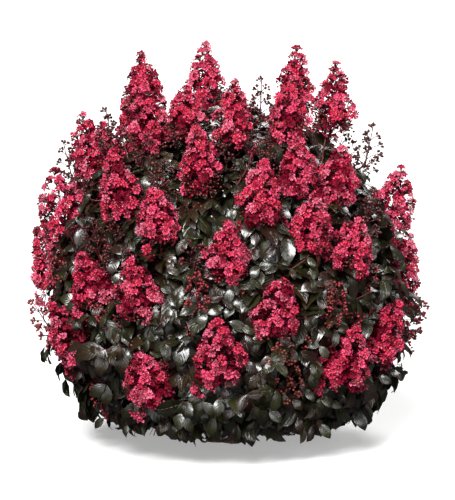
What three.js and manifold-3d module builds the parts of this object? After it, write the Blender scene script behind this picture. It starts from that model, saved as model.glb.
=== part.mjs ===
// A compact, dark-leaved crape myrtle in full bloom: a short stem at the ground, boughs that fan
// out from it inside the crown, and a mass of leafy twigs on each bough. The masses close into one
// round crown and carry the upright heads of blossom.
//
// Frame: millimetres, +Z up, origin at the centre of the flat cut under the stem, -Y is the front.
// Angles round the plant are in degrees, counted from the front round by the right (+X).

import * as THREE from 'three';
import { mergeVertices } from 'three/addons/utils/BufferGeometryUtils.js';
import Module from 'manifold-3d';

// ---------------------------------------------------------------- driving dimensions

const PLANT_HEIGHT = 1120; // ground to the tip of the highest head
const CROWN_RADIUS = 552; // half the crown's width
const HEART_HEIGHT = 476; // level where the crown is widest
const CROWN_UP = 636; // half height of the crown's round outline above that level
const CROWN_DOWN = 640; // and below it, where the ground cuts it short
const SKIRT_LEVEL = 42; // the lowest leaf tips hang this far above the ground
const GAP = 0.3; // clear space between a limb and what grows on from it

// Depths count from the crown's heart, 0, to its outline, 1.
const HOLLOW_DEPTH = 0.5; // inside this the crown holds only its boughs
const MASS_DEPTH = 0.66; // the middle of a mass of foliage
const CORE_DEPTH = 0.79; // the outer side of its core
const SHOOT_DEPTHS = [0.93, 0.82]; // the tips of the lowest and of the highest leafy shoots
const HEAD_DEPTH = 0.88; // the middle of a head of blossom
const LEAF_DEPTH = 1.01; // no leaf reaches further out

// The heads of blossom, in tiers up the crown. rise is the height of a head's middle as a share of
// the plant's height; open and budded are the angles of the heads. A tier that goes round repeats
// the heads of the front half at the back.
const HEAD_TIERS = [
  { rise: 0.92, depth: 0.9, open: [-152] },
  { rise: 0.897, depth: 0.95, open: [-107, 133] },
  { rise: 0.885, budded: [28] },
  { rise: 0.873, depth: 0.96, open: [101] },
  { rise: 0.867, open: [-30, 4, 50] },
  { rise: 0.836, open: [-57] },
  { rise: 0.79, open: [150, -172, -128], budded: [-88] },
  { rise: 0.745, depth: 0.91, open: [-97], budded: [97] },
  { rise: 0.745, open: [-13, 31], round: true },
  { rise: 0.7, depth: 0.94, budded: [-95] },
  { rise: 0.7, open: [-48, 13, 50], budded: [-28], round: true },
  { rise: 0.616, depth: 0.915, open: [-85, 93] },
  { rise: 0.607, open: [-26, 31], budded: [60], round: true },
  { rise: 0.555, open: [0, 47], budded: [-50], round: true },
  { rise: 0.475, depth: 0.915, open: [-91] },
  { rise: 0.46, open: [-51, -31, 90], budded: [-10], round: true },
  { rise: 0.41, open: [16], budded: [37], round: true },
  { rise: 0.31, depth: 0.96, budded: [-88, 87] },
  { rise: 0.31, open: [-69, -3, 64], round: true },
  { rise: 0.225, open: [-28, 43], budded: [22], round: true },
  { rise: 0.15, budded: [-57, 83], round: true },
];
const FRONT_HALF = 80; // a head within this angle of the front is repeated at the back
const BACK_TURN = 187; // how far round its copy stands
const RISE_SPREAD = 0.012; // how much the heads of one tier differ in height
const HEAD_LEAN = THREE.MathUtils.degToRad(42); // outward at the ground; heads stand upright at the top
const HEAD_SPACING = 4; // between two heads
const HEAD_SIDES = 6;
const OPEN_HEAD = { length: 178, radius: 58 };
const BUDDED_HEAD = { length: 132, radius: 33 };
const HEAD_PROFILE = [[0, 0], [0.14, 0.88], [0.4, 0.98], [0.74, 0.6], [1, 0]]; // [along, across], as shares
const LUMP = 0.12; // how far the tufts of blossom stand out and in, as a share of the radius

// The masses of foliage stand in rings, each on a bough of its own. limb is where the bough leaves
// the stem, how steeply and how thick.
const MASS_RINGS = [
  { name: 'skirt', count: 7, turn: 0, height: 190, limb: { height: 62, radius: 54, climb: 16, girth: 8 } },
  { name: 'waist', count: 7, turn: 26, height: 450, limb: { height: 92, radius: 46, climb: 58, girth: 9.5 } },
  { name: 'shoulder', count: 6, turn: 0, height: 725, limb: { height: 114, radius: 29, climb: 74, girth: 9 } },
  { name: 'top', count: 3, turn: 20, height: 880, limb: { height: 124, radius: 13, climb: 84, girth: 8.5 } },
];
const CORE_RADIUS = 165; // where nothing is in its way
const CORE_STEP = 5; // how finely a core is fitted to its space
const CORE_FLOOR = 62; // height of the lowest core above the ground
const CORE_CLEAR = { hollow: 14, space: 8, head: 8 }; // from the hollow and from the other masses
const LIMB_TIP = 0.6; // a limb's girth at its tip, as a share of its girth at the stem
const LIMB_SIDES = 5;

const SHOOTS = 236; // places for leafy shoots, over the whole crown
const SHOOT_RISE = [0.062, 0.86]; // the lowest and the highest, as shares of the plant's height
const SHOOT_CROWDING = 1.25; // above 1 there are more of them low down
const TWIG_RADIUS = 5.5;
const TWIG_TAPER = 0.8;
const STALK_SUNK = 0.2; // how far a head's stalk goes into it, as a share of the head's length
const STALK_LEAVES = [0.7]; // where leaves stand on the stalk of a head, as shares of its length
const SHOOT_LEAVES = [0.64, 0.78, 0.9, 0.99]; // and on a leafy shoot
const TWIG_TESTS = [0.4, 0.55, 0.7, 0.85, 1]; // where a shoot is tested for room
const SHOOT_FEWEST = 2; // a shoot with fewer leaves is left out
const LEAF_TRIES = 14; // turns tried before a leaf is left out
const LEAF_CLEAR = { hollow: 6, space: 1.5, head: 5, leaf: 42 }; // the last one from middle to middle
const SHOOT_CLEAR = 12; // between a shoot and a head
const LEAF_DROP = 0.6; // how much a leaf hangs
const DROP_HEIGHT = 200; // nearer to the ground leaves spread instead
const LEAF_ROLL = THREE.MathUtils.degToRad(45); // how far a blade is turned from level
const LEAF_SWING = 0.3; // how far it stands to one side, as a share of a twig's side
const LEAF = { length: 116, width: 56, thickness: 7, widest: 0.44, sunk: 2.5 }; // one stands for a few
const LEAF_TESTS = [[0.2, 0], [0.44, 1], [0.44, -1], [0.7, 0.55], [0.7, -0.55], [1, 0]]; // [along, across]

// The short stem, from the cut at the ground to the fork: [height, radius].
const STEM_PROFILE = [[0, 64], [14, 52], [38, 44], [76, 39], [104, 25]];
const STEM_LEAN = 0.04; // sideways for each step up
const STEM_SIDES = 15;
const FLARE = { lobes: 5, depth: 0.13 }; // depth as a share of the radius
const STEM_ROOM = 150; // no foliage grows this close round the stem
const COLLAR = { length: 42, swell: 1.5 }; // the stem's share of each bough, thicker at its root

// ---------------------------------------------------------------- numbers, directions and places

const UP = new THREE.Vector3(0, 0, 1);
const TURN = THREE.MathUtils.degToRad(360);
const GOLDEN_ANGLE = (TURN / 2) * (3 - Math.sqrt(5));

/** A repeatable stream of numbers from 0 to 1. */
function seeded(seed) {
  let state = seed >>> 0;
  return () => {
    state = (Math.imul(state, 1664525) + 1013904223) >>> 0;
    return state / 2 ** 32;
  };
}

/** The direction at an angle round the plant that climbs at the given slope. */
function heading(angle, climb = 0) {
  const level = Math.cos(climb);
  return new THREE.Vector3(level * Math.sin(angle), -level * Math.cos(angle), Math.sin(climb));
}

/** Where a point lies between the crown's heart, 0, and its outline, 1. */
function depthOf(p) {
  const rise = p.z - HEART_HEIGHT;
  return Math.hypot(p.x / CROWN_RADIUS, p.y / CROWN_RADIUS, rise / (rise > 0 ? CROWN_UP : CROWN_DOWN));
}

/** The point at an angle, a height and a depth. */
function crownPoint(angle, height, depth) {
  const rise = height - HEART_HEIGHT;
  const share = rise / (rise > 0 ? CROWN_UP : CROWN_DOWN);
  const radius = CROWN_RADIUS * Math.sqrt(Math.max(0.01, depth ** 2 - share ** 2));
  return heading(angle).multiplyScalar(radius).setZ(height);
}

/** Whether p is in the hollow middle of the crown, which is margin wider than its own size. */
function inHollow(p, margin = 0) {
  const byStem = p.z < HEART_HEIGHT && Math.hypot(p.x, p.y) < STEM_ROOM + margin;
  return byStem || depthOf(p) < HOLLOW_DEPTH + margin / CROWN_RADIUS;
}

/** Two directions at right angles to a third and to each other. */
function across(axis) {
  const side = new THREE.Vector3().crossVectors(axis, UP).normalize();
  return [side, new THREE.Vector3().crossVectors(side, axis)];
}

/** The point reached from p by going so far along each direction. */
function stepFrom(p, ...steps) {
  return steps.reduce((q, [direction, distance]) => q.addScaledVector(direction, distance), p.clone());
}

// ---------------------------------------------------------------- solids

const wasm = await Module();
wasm.setup();

/** A closed geometry as a solid that can be joined. */
function solidOf(geometry) {
  geometry.deleteAttribute('normal');
  geometry.deleteAttribute('uv');
  const merged = mergeVertices(geometry, 1e-3);
  const vertProperties = merged.attributes.position.array;
  const triVerts = new Uint32Array(merged.index.array);
  return new wasm.Manifold(new wasm.Mesh({ numProp: 3, vertProperties, triVerts }));
}

/** The largest body of a solid as a geometry, without loose scraps or sealed hollows. */
function largestBody(solid) {
  const mesh = solid.decompose().reduce((a, b) => (a.volume() > b.volume() ? a : b)).getMesh();
  const geometry = new THREE.BufferGeometry();
  geometry.setAttribute('position', new THREE.BufferAttribute(mesh.vertProperties, 3));
  geometry.setIndex(new THREE.BufferAttribute(mesh.triVerts, 1));
  return geometry;
}

/** Solids joined into one closed geometry. */
function joined(solids) {
  const fused = largestBody(solids.reduce((a, b) => a.add(b)));
  // Vertices that merge can close off a hollow, so the largest body is taken once more.
  const geometry = largestBody(solidOf(fused));
  geometry.computeVertexNormals();
  return geometry;
}

/** A geometry with each vertex moved to where place says. */
function reshaped(geometry, place) {
  const position = geometry.getAttribute('position');
  for (let i = 0; i < position.count; i++) {
    const p = place(new THREE.Vector3().fromBufferAttribute(position, i));
    position.setXYZ(i, p.x, p.y, p.z);
  }
  return geometry;
}

/** A tapering limb with flat ends along a stretch of a curve. */
function limb(curve, [from, to], [thick, thin], sides, lengths) {
  const start = across(curve.getTangent(0.5))[0];
  return reshaped(new THREE.CylinderGeometry(1, 1, 1, sides, lengths), (v) => {
    const share = v.y + 0.5;
    const t = from + (to - from) * share;
    const along = curve.getTangent(t);
    const side = start.clone().addScaledVector(along, -start.dot(along)).normalize();
    const other = new THREE.Vector3().crossVectors(along, side);
    const radius = THREE.MathUtils.lerp(thick, thin, share);
    return stepFrom(curve.getPoint(t), [side, v.x * radius], [other, -v.z * radius]);
  });
}

// ---------------------------------------------------------------- heads of blossom

/** Where one head stands, which way it points and how big it is. */
function makeHead(angle, tierRise, depth, kind, random) {
  const rise = tierRise + RISE_SPREAD * (random() - 0.5);
  const middle = crownPoint(angle, rise * PLANT_HEIGHT, depth);
  const axis = heading(angle, TURN / 4 - HEAD_LEAN * (1 - rise) * (0.8 + 0.4 * random()));
  const length = kind.length * (0.92 + 0.16 * random());
  const radius = kind.radius * (0.92 + 0.16 * random());
  return { axis, length, radius, foot: stepFrom(middle, [axis, -length / 2]) };
}

/** The share of a head's full radius at a share of its length. */
function headProfile(t) {
  const next = Math.max(1, HEAD_PROFILE.findIndex(([along]) => along >= t));
  const [[t0, r0], [t1, r1]] = [HEAD_PROFILE[next - 1], HEAD_PROFILE[next]];
  return THREE.MathUtils.mapLinear(t, t0, t1, r0, r1);
}

/** How far p is from a head's axis, and the head's own radius there. */
function headSection(head, p) {
  const t = THREE.MathUtils.clamp(p.clone().sub(head.foot).dot(head.axis) / head.length, 0, 1);
  const apart = p.distanceTo(stepFrom(head.foot, [head.axis, t * head.length]));
  return { apart, radius: head.radius * (1 + LUMP) * headProfile(t) };
}

/** How far p is outside a head. */
function distanceFromHead(head, p) {
  const { apart, radius } = headSection(head, p);
  return apart - radius;
}

/** Makes two heads slimmer where they would crowd each other. */
function makeRoom(head, other) {
  for (const [along] of HEAD_PROFILE) {
    const p = stepFrom(head.foot, [head.axis, along * head.length]);
    const { apart, radius } = headSection(other, p);
    const share = Math.min(1, (apart - HEAD_SPACING) / (headSection(head, p).radius + radius));
    head.radius *= share;
    other.radius *= share;
  }
}

/** Every head on the plant, tier by tier. */
function makeHeads() {
  const random = seeded(11);
  const heads = [];
  for (const { rise, depth = HEAD_DEPTH, open = [], budded = [], round = false } of HEAD_TIERS) {
    const front = [...open.map((angle) => [angle, OPEN_HEAD]), ...budded.map((each) => [each, BUDDED_HEAD])];
    const repeated = round ? front.filter(([angle]) => Math.abs(angle) < FRONT_HALF) : [];
    const back = repeated.map(([angle, kind]) => [angle + BACK_TURN, kind]);
    for (const [angle, kind] of [...front, ...back]) {
      heads.push(makeHead(THREE.MathUtils.degToRad(angle), rise, depth, kind, random));
    }
  }
  heads.forEach((head, i) => heads.slice(0, i).forEach((other) => makeRoom(head, other)));
  return heads;
}

const heads = makeHeads();

/** A head as a solid: a blunt cone of tufts. */
function headSolid(head) {
  const outline = HEAD_PROFILE.map(([, across], ring) => new THREE.Vector2(across * head.radius, ring));
  const [side, other] = across(head.axis);
  return solidOf(reshaped(new THREE.LatheGeometry(outline, HEAD_SIDES), (v) => {
    const ring = Math.round(v.y);
    const bulge = 1 + LUMP * Math.cos((HEAD_SIDES / 2) * Math.atan2(v.z, v.x) + Math.PI * ring);
    const up = [head.axis, HEAD_PROFILE[ring][0] * head.length];
    return stepFrom(head.foot, up, [side, v.x * bulge], [other, v.z * bulge]);
  }));
}

// ---------------------------------------------------------------- masses of foliage

/** Every mass: its middle and the curve of the bough that leads there. */
function makeMasses() {
  const masses = [];
  for (const { name, count, turn, height, limb } of MASS_RINGS) {
    for (let i = 0; i < count; i++) {
      const angle = THREE.MathUtils.degToRad(turn) + (TURN * i) / count;
      const middle = crownPoint(angle, height, MASS_DEPTH);
      const start = heading(angle).multiplyScalar(limb.radius).setZ(limb.height);
      const reach = start.distanceTo(middle);
      const leaving = heading(angle, THREE.MathUtils.degToRad(limb.climb));
      const arriving = middle.clone().setZ(height - HEART_HEIGHT).normalize().add(UP).normalize();
      const bend = stepFrom(start, [leaving, 0.4 * reach]);
      const last = stepFrom(middle, [arriving, -0.3 * reach]);
      const curve = new THREE.CubicBezierCurve3(start, bend, last, middle);
      masses.push({ name: `${name}_${i + 1}`, middle, curve, girth: limb.girth });
    }
  }
  return masses;
}

const masses = makeMasses();

/** The mass whose middle is nearest to p. */
function massNear(p) {
  return masses.reduce((a, b) => (p.distanceTo(a.middle) < p.distanceTo(b.middle) ? a : b));
}

/** How far p is inside a mass's own space, as measured from its nearest neighbour's. */
function insideBy(mass, p) {
  const others = masses.filter((other) => other !== mass);
  return Math.min(...others.map((other) => {
    const halfway = mass.middle.clone().lerp(other.middle, 0.5);
    return halfway.sub(p).dot(other.middle.clone().sub(mass.middle).normalize());
  }));
}

/** How far along a bough's curve it leaves the hollow middle of the crown. */
function entryOf(curve) {
  const steps = 200;
  let step = 0;
  while (step < steps && inHollow(curve.getPoint(step / steps))) step++;
  return step / steps;
}

/** The places for leafy shoots: spread over the crown, clear of the heads. */
function makeShootTips() {
  const [lowest, highest] = SHOOT_RISE;
  const spread = Array.from({ length: SHOOTS }, (_, i) => {
    const share = ((i + 0.5) / SHOOTS) ** SHOOT_CROWDING;
    const rise = THREE.MathUtils.lerp(lowest, highest, share);
    return crownPoint(i * GOLDEN_ANGLE, rise * PLANT_HEIGHT, THREE.MathUtils.lerp(...SHOOT_DEPTHS, share));
  });
  return spread.filter((p) => heads.every((head) => distanceFromHead(head, p) > SHOOT_CLEAR));
}

const shootTips = makeShootTips();

/** The two directions across a leaf's blade: in its plane and off it. */
function bladeAcross({ along, roll }) {
  const [level, above] = across(along);
  const side = level.multiplyScalar(Math.cos(roll)).addScaledVector(above, Math.sin(roll));
  return [side, new THREE.Vector3().crossVectors(side, along)];
}

/** A leaf as a geometry: a pointed blade, thickest in the middle, with its root sunk in the twig. */
function leafGeometry(leaf) {
  const [side, off] = bladeAcross(leaf);
  const reaches = [LEAF.length * leaf.size, LEAF.widest * LEAF.length * leaf.size, -LEAF.sunk];
  return reshaped(new THREE.OctahedronGeometry(1), (v) => {
    const aside = (-v.y * LEAF.width * leaf.size) / 2;
    const reach = reaches[1 - Math.round(v.x)];
    return stepFrom(leaf.root, [leaf.along, reach], [side, aside], [off, (v.z * LEAF.thickness) / 2]);
  });
}

/** The points of a leaf that are tested for room. */
function leafTestPoints(leaf) {
  const side = bladeAcross(leaf)[0];
  return LEAF_TESTS.map(([reach, aside]) => stepFrom(
    leaf.root,
    [leaf.along, reach * LEAF.length * leaf.size],
    [side, (aside * LEAF.width * leaf.size) / 2],
  ));
}

/** Whether a leaf of a mass has room at p. */
function hasRoom(mass, p) {
  if (p.z < SKIRT_LEVEL || depthOf(p) > LEAF_DEPTH || inHollow(p, LEAF_CLEAR.hollow)) return false;
  if (insideBy(mass, p) < LEAF_CLEAR.space) return false;
  return heads.every((head) => distanceFromHead(head, p) > LEAF_CLEAR.head);
}

/** A leaf at a place on a twig: it stands out from one of the twig's three sides and hangs. */
function makeLeaf(twig, share, random) {
  const [side, off] = across(twig.axis);
  const root = stepFrom(twig.from, [twig.axis, share * twig.length]);
  const turn = (TURN / 3) * (Math.floor(3 * random()) + 0.5 + LEAF_SWING * (random() - 0.5));
  const drop = LEAF_DROP * (0.7 + 0.6 * random()) * Math.min(1, (root.z - SKIRT_LEVEL) / DROP_HEIGHT);
  const steps = [[twig.axis, 0.7], [side, Math.sin(turn)], [off, Math.cos(turn)], [UP, -drop]];
  const along = stepFrom(new THREE.Vector3(), ...steps).normalize();
  const roll = LEAF_ROLL * (random() < 0.5 ? -1 : 1) * (0.6 + 0.8 * random());
  return { root, along, roll, size: 0.85 + 0.3 * random() };
}

/** The middle of a leaf. */
function leafMiddle({ root, along, size }) {
  return stepFrom(root, [along, 0.5 * LEAF.length * size]);
}

/** Whether a leaf keeps to its mass's space and clear of the heads and of the mass's other leaves. */
function leafFits(leaf, mass, leaves) {
  const middle = leafMiddle(leaf);
  const crowded = leaves.some((other) => leafMiddle(other).distanceTo(middle) < LEAF_CLEAR.leaf);
  return !crowded && leafTestPoints(leaf).every((p) => hasRoom(mass, p));
}

/** A straight twig between two points. */
function twigBetween(from, to) {
  return { from, to, length: from.distanceTo(to), axis: to.clone().sub(from).normalize() };
}

/** A twig as a solid with three sides. */
function twigSolid(twig) {
  const line = new THREE.LineCurve3(twig.from, twig.to);
  return solidOf(limb(line, [0, 1], [TWIG_RADIUS, TWIG_TAPER * TWIG_RADIUS], 3, 1));
}

/** Whether the core of a mass may reach to p. */
function coreFits(mass, p) {
  if (p.z < CORE_FLOOR || depthOf(p) > CORE_DEPTH || inHollow(p, CORE_CLEAR.hollow)) return false;
  if (insideBy(mass, p) < CORE_CLEAR.space) return false;
  const foreign = heads.filter((head) => massNear(head.foot) !== mass);
  return foreign.every((head) => distanceFromHead(head, p) > CORE_CLEAR.head);
}

/** The core of a mass: a rough block that fills the middle of its space. */
function coreSolid(mass) {
  return solidOf(reshaped(new THREE.IcosahedronGeometry(1), (v) => {
    let reach = CORE_RADIUS;
    while (reach > CORE_STEP && !coreFits(mass, stepFrom(mass.middle, [v, reach]))) reach -= CORE_STEP;
    return stepFrom(mass.middle, [v, reach]);
  }));
}

/** The heads that a mass carries. */
function headsOf(mass) {
  return heads.filter((head) => massNear(head.foot) === mass);
}

/** The leaves that find room along a twig, in turn. */
function growLeaves(twig, shares, mass, others, random) {
  const leaves = [];
  for (const share of shares) {
    const tries = Array.from({ length: LEAF_TRIES }, () => makeLeaf(twig, share, random));
    const leaf = tries.find((each) => leafFits(each, mass, [...others, ...leaves]));
    if (leaf) leaves.push(leaf);
  }
  return leaves;
}

/** Whether a twig keeps clear of every head. */
function passesHeads(twig) {
  const tests = TWIG_TESTS.map((share) => stepFrom(twig.from, [twig.axis, share * twig.length]));
  return tests.every((p) => heads.every((head) => distanceFromHead(head, p) > SHOOT_CLEAR));
}

/** The twigs of a mass with their leaves: a stalk to each head, and the leafy shoots. */
function growTwigs(mass, random) {
  const stalks = headsOf(mass).map((head) => (
    twigBetween(mass.middle, stepFrom(head.foot, [head.axis, STALK_SUNK * head.length]))
  ));
  const leaves = stalks.flatMap((twig) => growLeaves(twig, STALK_LEAVES, mass, [], random));
  const twigs = [...stalks];
  for (const tip of shootTips.filter((p) => massNear(p) === mass)) {
    const twig = twigBetween(mass.middle, tip);
    const grown = passesHeads(twig) ? growLeaves(twig, SHOOT_LEAVES, mass, leaves, random) : [];
    if (grown.length < SHOOT_FEWEST) continue;
    twigs.push(twig);
    leaves.push(...grown);
  }
  return { twigs, leaves };
}

/** A mass as one solid: its stem and core, its twigs, their leaves and its heads. */
function massGeometry(mass, seed) {
  const { twigs, leaves } = growTwigs(mass, seeded(seed));
  const entry = entryOf(mass.curve) + GAP / mass.curve.getLength();
  return joined([
    solidOf(limb(mass.curve, [entry, 1], [LIMB_TIP * mass.girth, TWIG_RADIUS], LIMB_SIDES, 2)),
    coreSolid(mass),
    ...headsOf(mass).map(headSolid),
    ...twigs.map(twigSolid),
    ...leaves.map((leaf) => solidOf(leafGeometry(leaf))),
  ]);
}

// ---------------------------------------------------------------- stem and boughs

/** The bough of a mass, from its collar on the stem to the edge of its foliage. */
function boughGeometry(mass) {
  const start = GAP / mass.curve.getLength();
  return limb(mass.curve, [start, entryOf(mass.curve)], [mass.girth, LIMB_TIP * mass.girth], LIMB_SIDES, 3);
}

/** The short stem: a flared foot with a collar for each bough. */
function stemGeometry() {
  const height = STEM_PROFILE.at(-1)[0];
  const outline = STEM_PROFILE.map(([z, radius]) => new THREE.Vector2(radius, z));
  const profile = [new THREE.Vector2(0, 0), ...outline, new THREE.Vector2(0, height)];
  const foot = reshaped(new THREE.LatheGeometry(profile, STEM_SIDES), (v) => {
    const spread = FLARE.depth * (1 - v.y / height) ** 2;
    const lobe = 1 + spread * Math.cos(FLARE.lobes * Math.atan2(v.z, v.x));
    return new THREE.Vector3(v.x * lobe + STEM_LEAN * v.y, -v.z * lobe, v.y);
  });
  const collars = masses.map(({ curve, girth }) => {
    const root = stepFrom(curve.getPoint(0), [curve.getTangent(0), -COLLAR.length]);
    const line = new THREE.LineCurve3(root, curve.getPoint(0));
    return solidOf(limb(line, [0, 1], [COLLAR.swell * girth, girth], LIMB_SIDES, 1));
  });
  return joined([solidOf(foot), ...collars]);
}

// ---------------------------------------------------------------- the plant

const BARK = new THREE.MeshStandardMaterial({ color: 0x6b4a3c, roughness: 0.75, metalness: 0 });
const FOLIAGE = new THREE.MeshStandardMaterial({ color: 0x3a2226, roughness: 0.45, metalness: 0 });

/** A named mesh of the plant. */
function node(name, geometry, material) {
  const mesh = new THREE.Mesh(geometry, material);
  mesh.name = name;
  return mesh;
}

const plant = new THREE.Group();
plant.add(node('stem', stemGeometry(), BARK));
masses.forEach((mass, i) => {
  plant.add(node(`bough_${mass.name}`, boughGeometry(mass), BARK));
  plant.add(node(`foliage_${mass.name}`, massGeometry(mass, i + 1), FOLIAGE));
});

export default plant;
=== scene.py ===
"""A compact, dark-leaved crape myrtle in full bloom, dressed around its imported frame.

The short stem and the boughs get bark with relief. Every mass of foliage grows on from its bough by
the rule of the part's source, carried on to finer shoots, leaves of life size, and panicles of
crinkled flowers and round buds. Metres, +Z up, origin at the foot of the stem, the front faces -Y.
"""

import json
import logging
import math
from collections.abc import Callable, Iterator, Sequence
from dataclasses import dataclass, field
from enum import Enum
from typing import NamedTuple

import bmesh
import bpy
import numpy as np
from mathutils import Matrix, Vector, noise


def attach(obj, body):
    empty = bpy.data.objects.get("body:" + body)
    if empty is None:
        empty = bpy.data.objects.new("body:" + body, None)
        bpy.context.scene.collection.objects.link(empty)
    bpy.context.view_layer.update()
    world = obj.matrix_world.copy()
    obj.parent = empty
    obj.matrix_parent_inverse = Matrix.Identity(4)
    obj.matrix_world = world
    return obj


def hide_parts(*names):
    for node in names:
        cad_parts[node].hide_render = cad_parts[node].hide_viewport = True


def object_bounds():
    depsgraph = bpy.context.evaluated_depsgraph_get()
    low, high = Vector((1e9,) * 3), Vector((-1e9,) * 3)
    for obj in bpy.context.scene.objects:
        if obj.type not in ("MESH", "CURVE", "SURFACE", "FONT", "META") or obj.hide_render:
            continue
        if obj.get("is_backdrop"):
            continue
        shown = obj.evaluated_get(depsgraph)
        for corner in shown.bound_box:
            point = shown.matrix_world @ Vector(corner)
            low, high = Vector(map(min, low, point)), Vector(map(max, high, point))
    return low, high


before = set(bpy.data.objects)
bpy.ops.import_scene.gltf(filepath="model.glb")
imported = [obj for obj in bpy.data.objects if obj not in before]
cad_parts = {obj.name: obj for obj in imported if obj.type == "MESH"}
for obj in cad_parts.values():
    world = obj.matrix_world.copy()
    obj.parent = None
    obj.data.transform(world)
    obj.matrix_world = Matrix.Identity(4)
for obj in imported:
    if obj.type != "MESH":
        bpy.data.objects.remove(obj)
CAD_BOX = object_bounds()

LOG = logging.getLogger("crape_myrtle")
BODY = "root"
TURN = 2 * math.pi
GOLDEN_ANGLE = math.pi * (3 - math.sqrt(5))
UP = np.array([0.0, 0.0, 1.0])
NUDGE = 1e-6
TINY = 1e-9

Triple = tuple[float, float, float]
Colour = Triple
Table = tuple[tuple[float, float], ...]


# ---------------------------------------------------------------- numbers, directions and curves


class Seeded:
    """A repeatable stream of numbers from 0 to 1, the same as in the part's source."""

    def __init__(self, seed: int) -> None:
        """Starts the stream at a seed."""
        self.state = seed

    def __call__(self) -> float:
        """The next number."""
        self.state = (self.state * 1664525 + 1013904223) % 2**32
        return self.state / 2**32


@dataclass(frozen=True)
class Span:
    """A range of numbers, given by its first number and how far it goes from there."""

    first: float
    width: float

    def at(self, share: float | np.ndarray) -> float | np.ndarray:
        """The number at a share of the range."""
        return self.first + self.width * share


def read(table: Table, place: float | np.ndarray) -> float | np.ndarray:
    """What a table of places and numbers gives at one or more places, straight between its rows."""
    found = np.interp(place, *zip(*table))
    return found if np.ndim(found) else float(found)


def unit(vectors: np.ndarray) -> np.ndarray:
    """Vectors scaled to a length of one."""
    return vectors / np.maximum(np.linalg.norm(vectors, axis=-1, keepdims=True), TINY)


def heading(angle: float, climb: float = 0.0) -> np.ndarray:
    """The direction at an angle round the plant that climbs at the given slope."""
    level = math.cos(climb)
    return np.array([level * math.sin(angle), -level * math.cos(angle), math.sin(climb)])


def across(axes: np.ndarray) -> tuple[np.ndarray, np.ndarray]:
    """Two directions at right angles to each axis and to each other."""
    side = unit(np.cross(axes, UP) + NUDGE)
    return side, np.cross(side, axes)


def lerp(a: float, b: float, share: float | np.ndarray) -> float | np.ndarray:
    """The number at a share of the way from a to b."""
    return a + (b - a) * share


@dataclass(frozen=True)
class Curve:
    """A cubic curve through space, given by its four control points."""

    points: np.ndarray

    def at(self, t: float | np.ndarray) -> np.ndarray:
        """The points of the curve at one or more parameters from 0 to 1.

        Args:
            t: the parameters.

        Returns:
            The points, one for each parameter.
        """
        t = np.asarray(t, float)[..., None]
        a, b, c, d = self.points
        s = 1 - t
        return s**3 * a + 3 * s**2 * t * b + 3 * s * t**2 * c + t**3 * d

    def tangent(self, t: float | np.ndarray) -> np.ndarray:
        """The curve's unit directions at one or more parameters.

        Args:
            t: the parameters.

        Returns:
            The directions, one for each parameter.
        """
        t = np.asarray(t, float)[..., None]
        a, b, c, d = self.points
        s = 1 - t
        return unit(s**2 * (b - a) + 2 * s * t * (c - b) + t**2 * (d - c))

    def length(self, chords: int = 12) -> float:
        """The curve's length, measured along a number of chords."""
        ends = self.at(np.linspace(0, 1, chords + 1))
        return float(np.linalg.norm(np.diff(ends, axis=0), axis=1).sum())


def curve_between(
    start: np.ndarray, leaving: np.ndarray, end: np.ndarray, arriving: np.ndarray, pull: float = 0.35
) -> Curve:
    """A curve from start to end with the given unit directions at its ends.

    Args:
        start: where the curve begins.
        leaving: its direction there.
        end: where it ends.
        arriving: its direction there.
        pull: how long it keeps to those directions, as a share of its reach.

    Returns:
        The curve.
    """
    reach = float(np.linalg.norm(end - start))
    return Curve(np.array([start, start + pull * reach * leaving, end - pull * reach * arriving, end]))


# ---------------------------------------------------------------- the crown, its heads and its masses


@dataclass(frozen=True)
class Crown:
    """The crown's round outline. Depths count from its heart, 0, to the outline, 1."""

    height: float = 1.120
    radius: float = 0.552
    heart: float = 0.476
    up: float = 0.636
    down: float = 0.640
    hollow: float = 0.5
    stem_room: float = 0.150
    least_round: float = 0.01

    def scaled(self, p: np.ndarray) -> np.ndarray:
        """Points counted from the crown's heart, in shares of its half sizes.

        Args:
            p: the points, in metres.

        Returns:
            The points in shares.
        """
        rise = p[..., 2] - self.heart
        half = np.where(rise > 0, self.up, self.down)
        return np.stack([p[..., 0] / self.radius, p[..., 1] / self.radius, rise / half], axis=-1)

    def depth(self, p: np.ndarray) -> np.ndarray:
        """Where points lie between the heart and the outline."""
        return np.linalg.norm(self.scaled(p), axis=-1)

    def outward(self, p: np.ndarray) -> np.ndarray:
        """The unit directions that face straight out of the crown."""
        return unit(self.scaled(p) + NUDGE)

    def point(self, angle: float, height: float, depth: float) -> np.ndarray:
        """The point at an angle, a height and a depth.

        Args:
            angle: the angle round the plant.
            height: the height, in metres.
            depth: how far out it lies, from 0 at the heart to 1 on the outline.

        Returns:
            The point.
        """
        rise = height - self.heart
        share = rise / (self.up if rise > 0 else self.down)
        radius = self.radius * math.sqrt(max(self.least_round, depth**2 - share**2))
        return heading(angle) * radius + UP * height

    def in_hollow(self, p: np.ndarray, margin: float = 0.0) -> np.ndarray:
        """Whether points are in the crown's bare middle, made wider by a margin."""
        by_stem = (p[..., 2] < self.heart) & (np.hypot(p[..., 0], p[..., 1]) < self.stem_room + margin)
        return by_stem | (self.depth(p) < self.hollow + margin / self.radius)


class HeadKind(Enum):
    """The two kinds of head, each with its length and radius."""

    OPEN = (0.178, 0.058)
    BUDDED = (0.132, 0.033)


@dataclass
class Head:
    """Where one head of blossom stands, which way it points and how big it is."""

    kind: HeadKind
    foot: np.ndarray
    axis: np.ndarray
    length: float
    radius: float
    full_radius: float = 0.0


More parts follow.
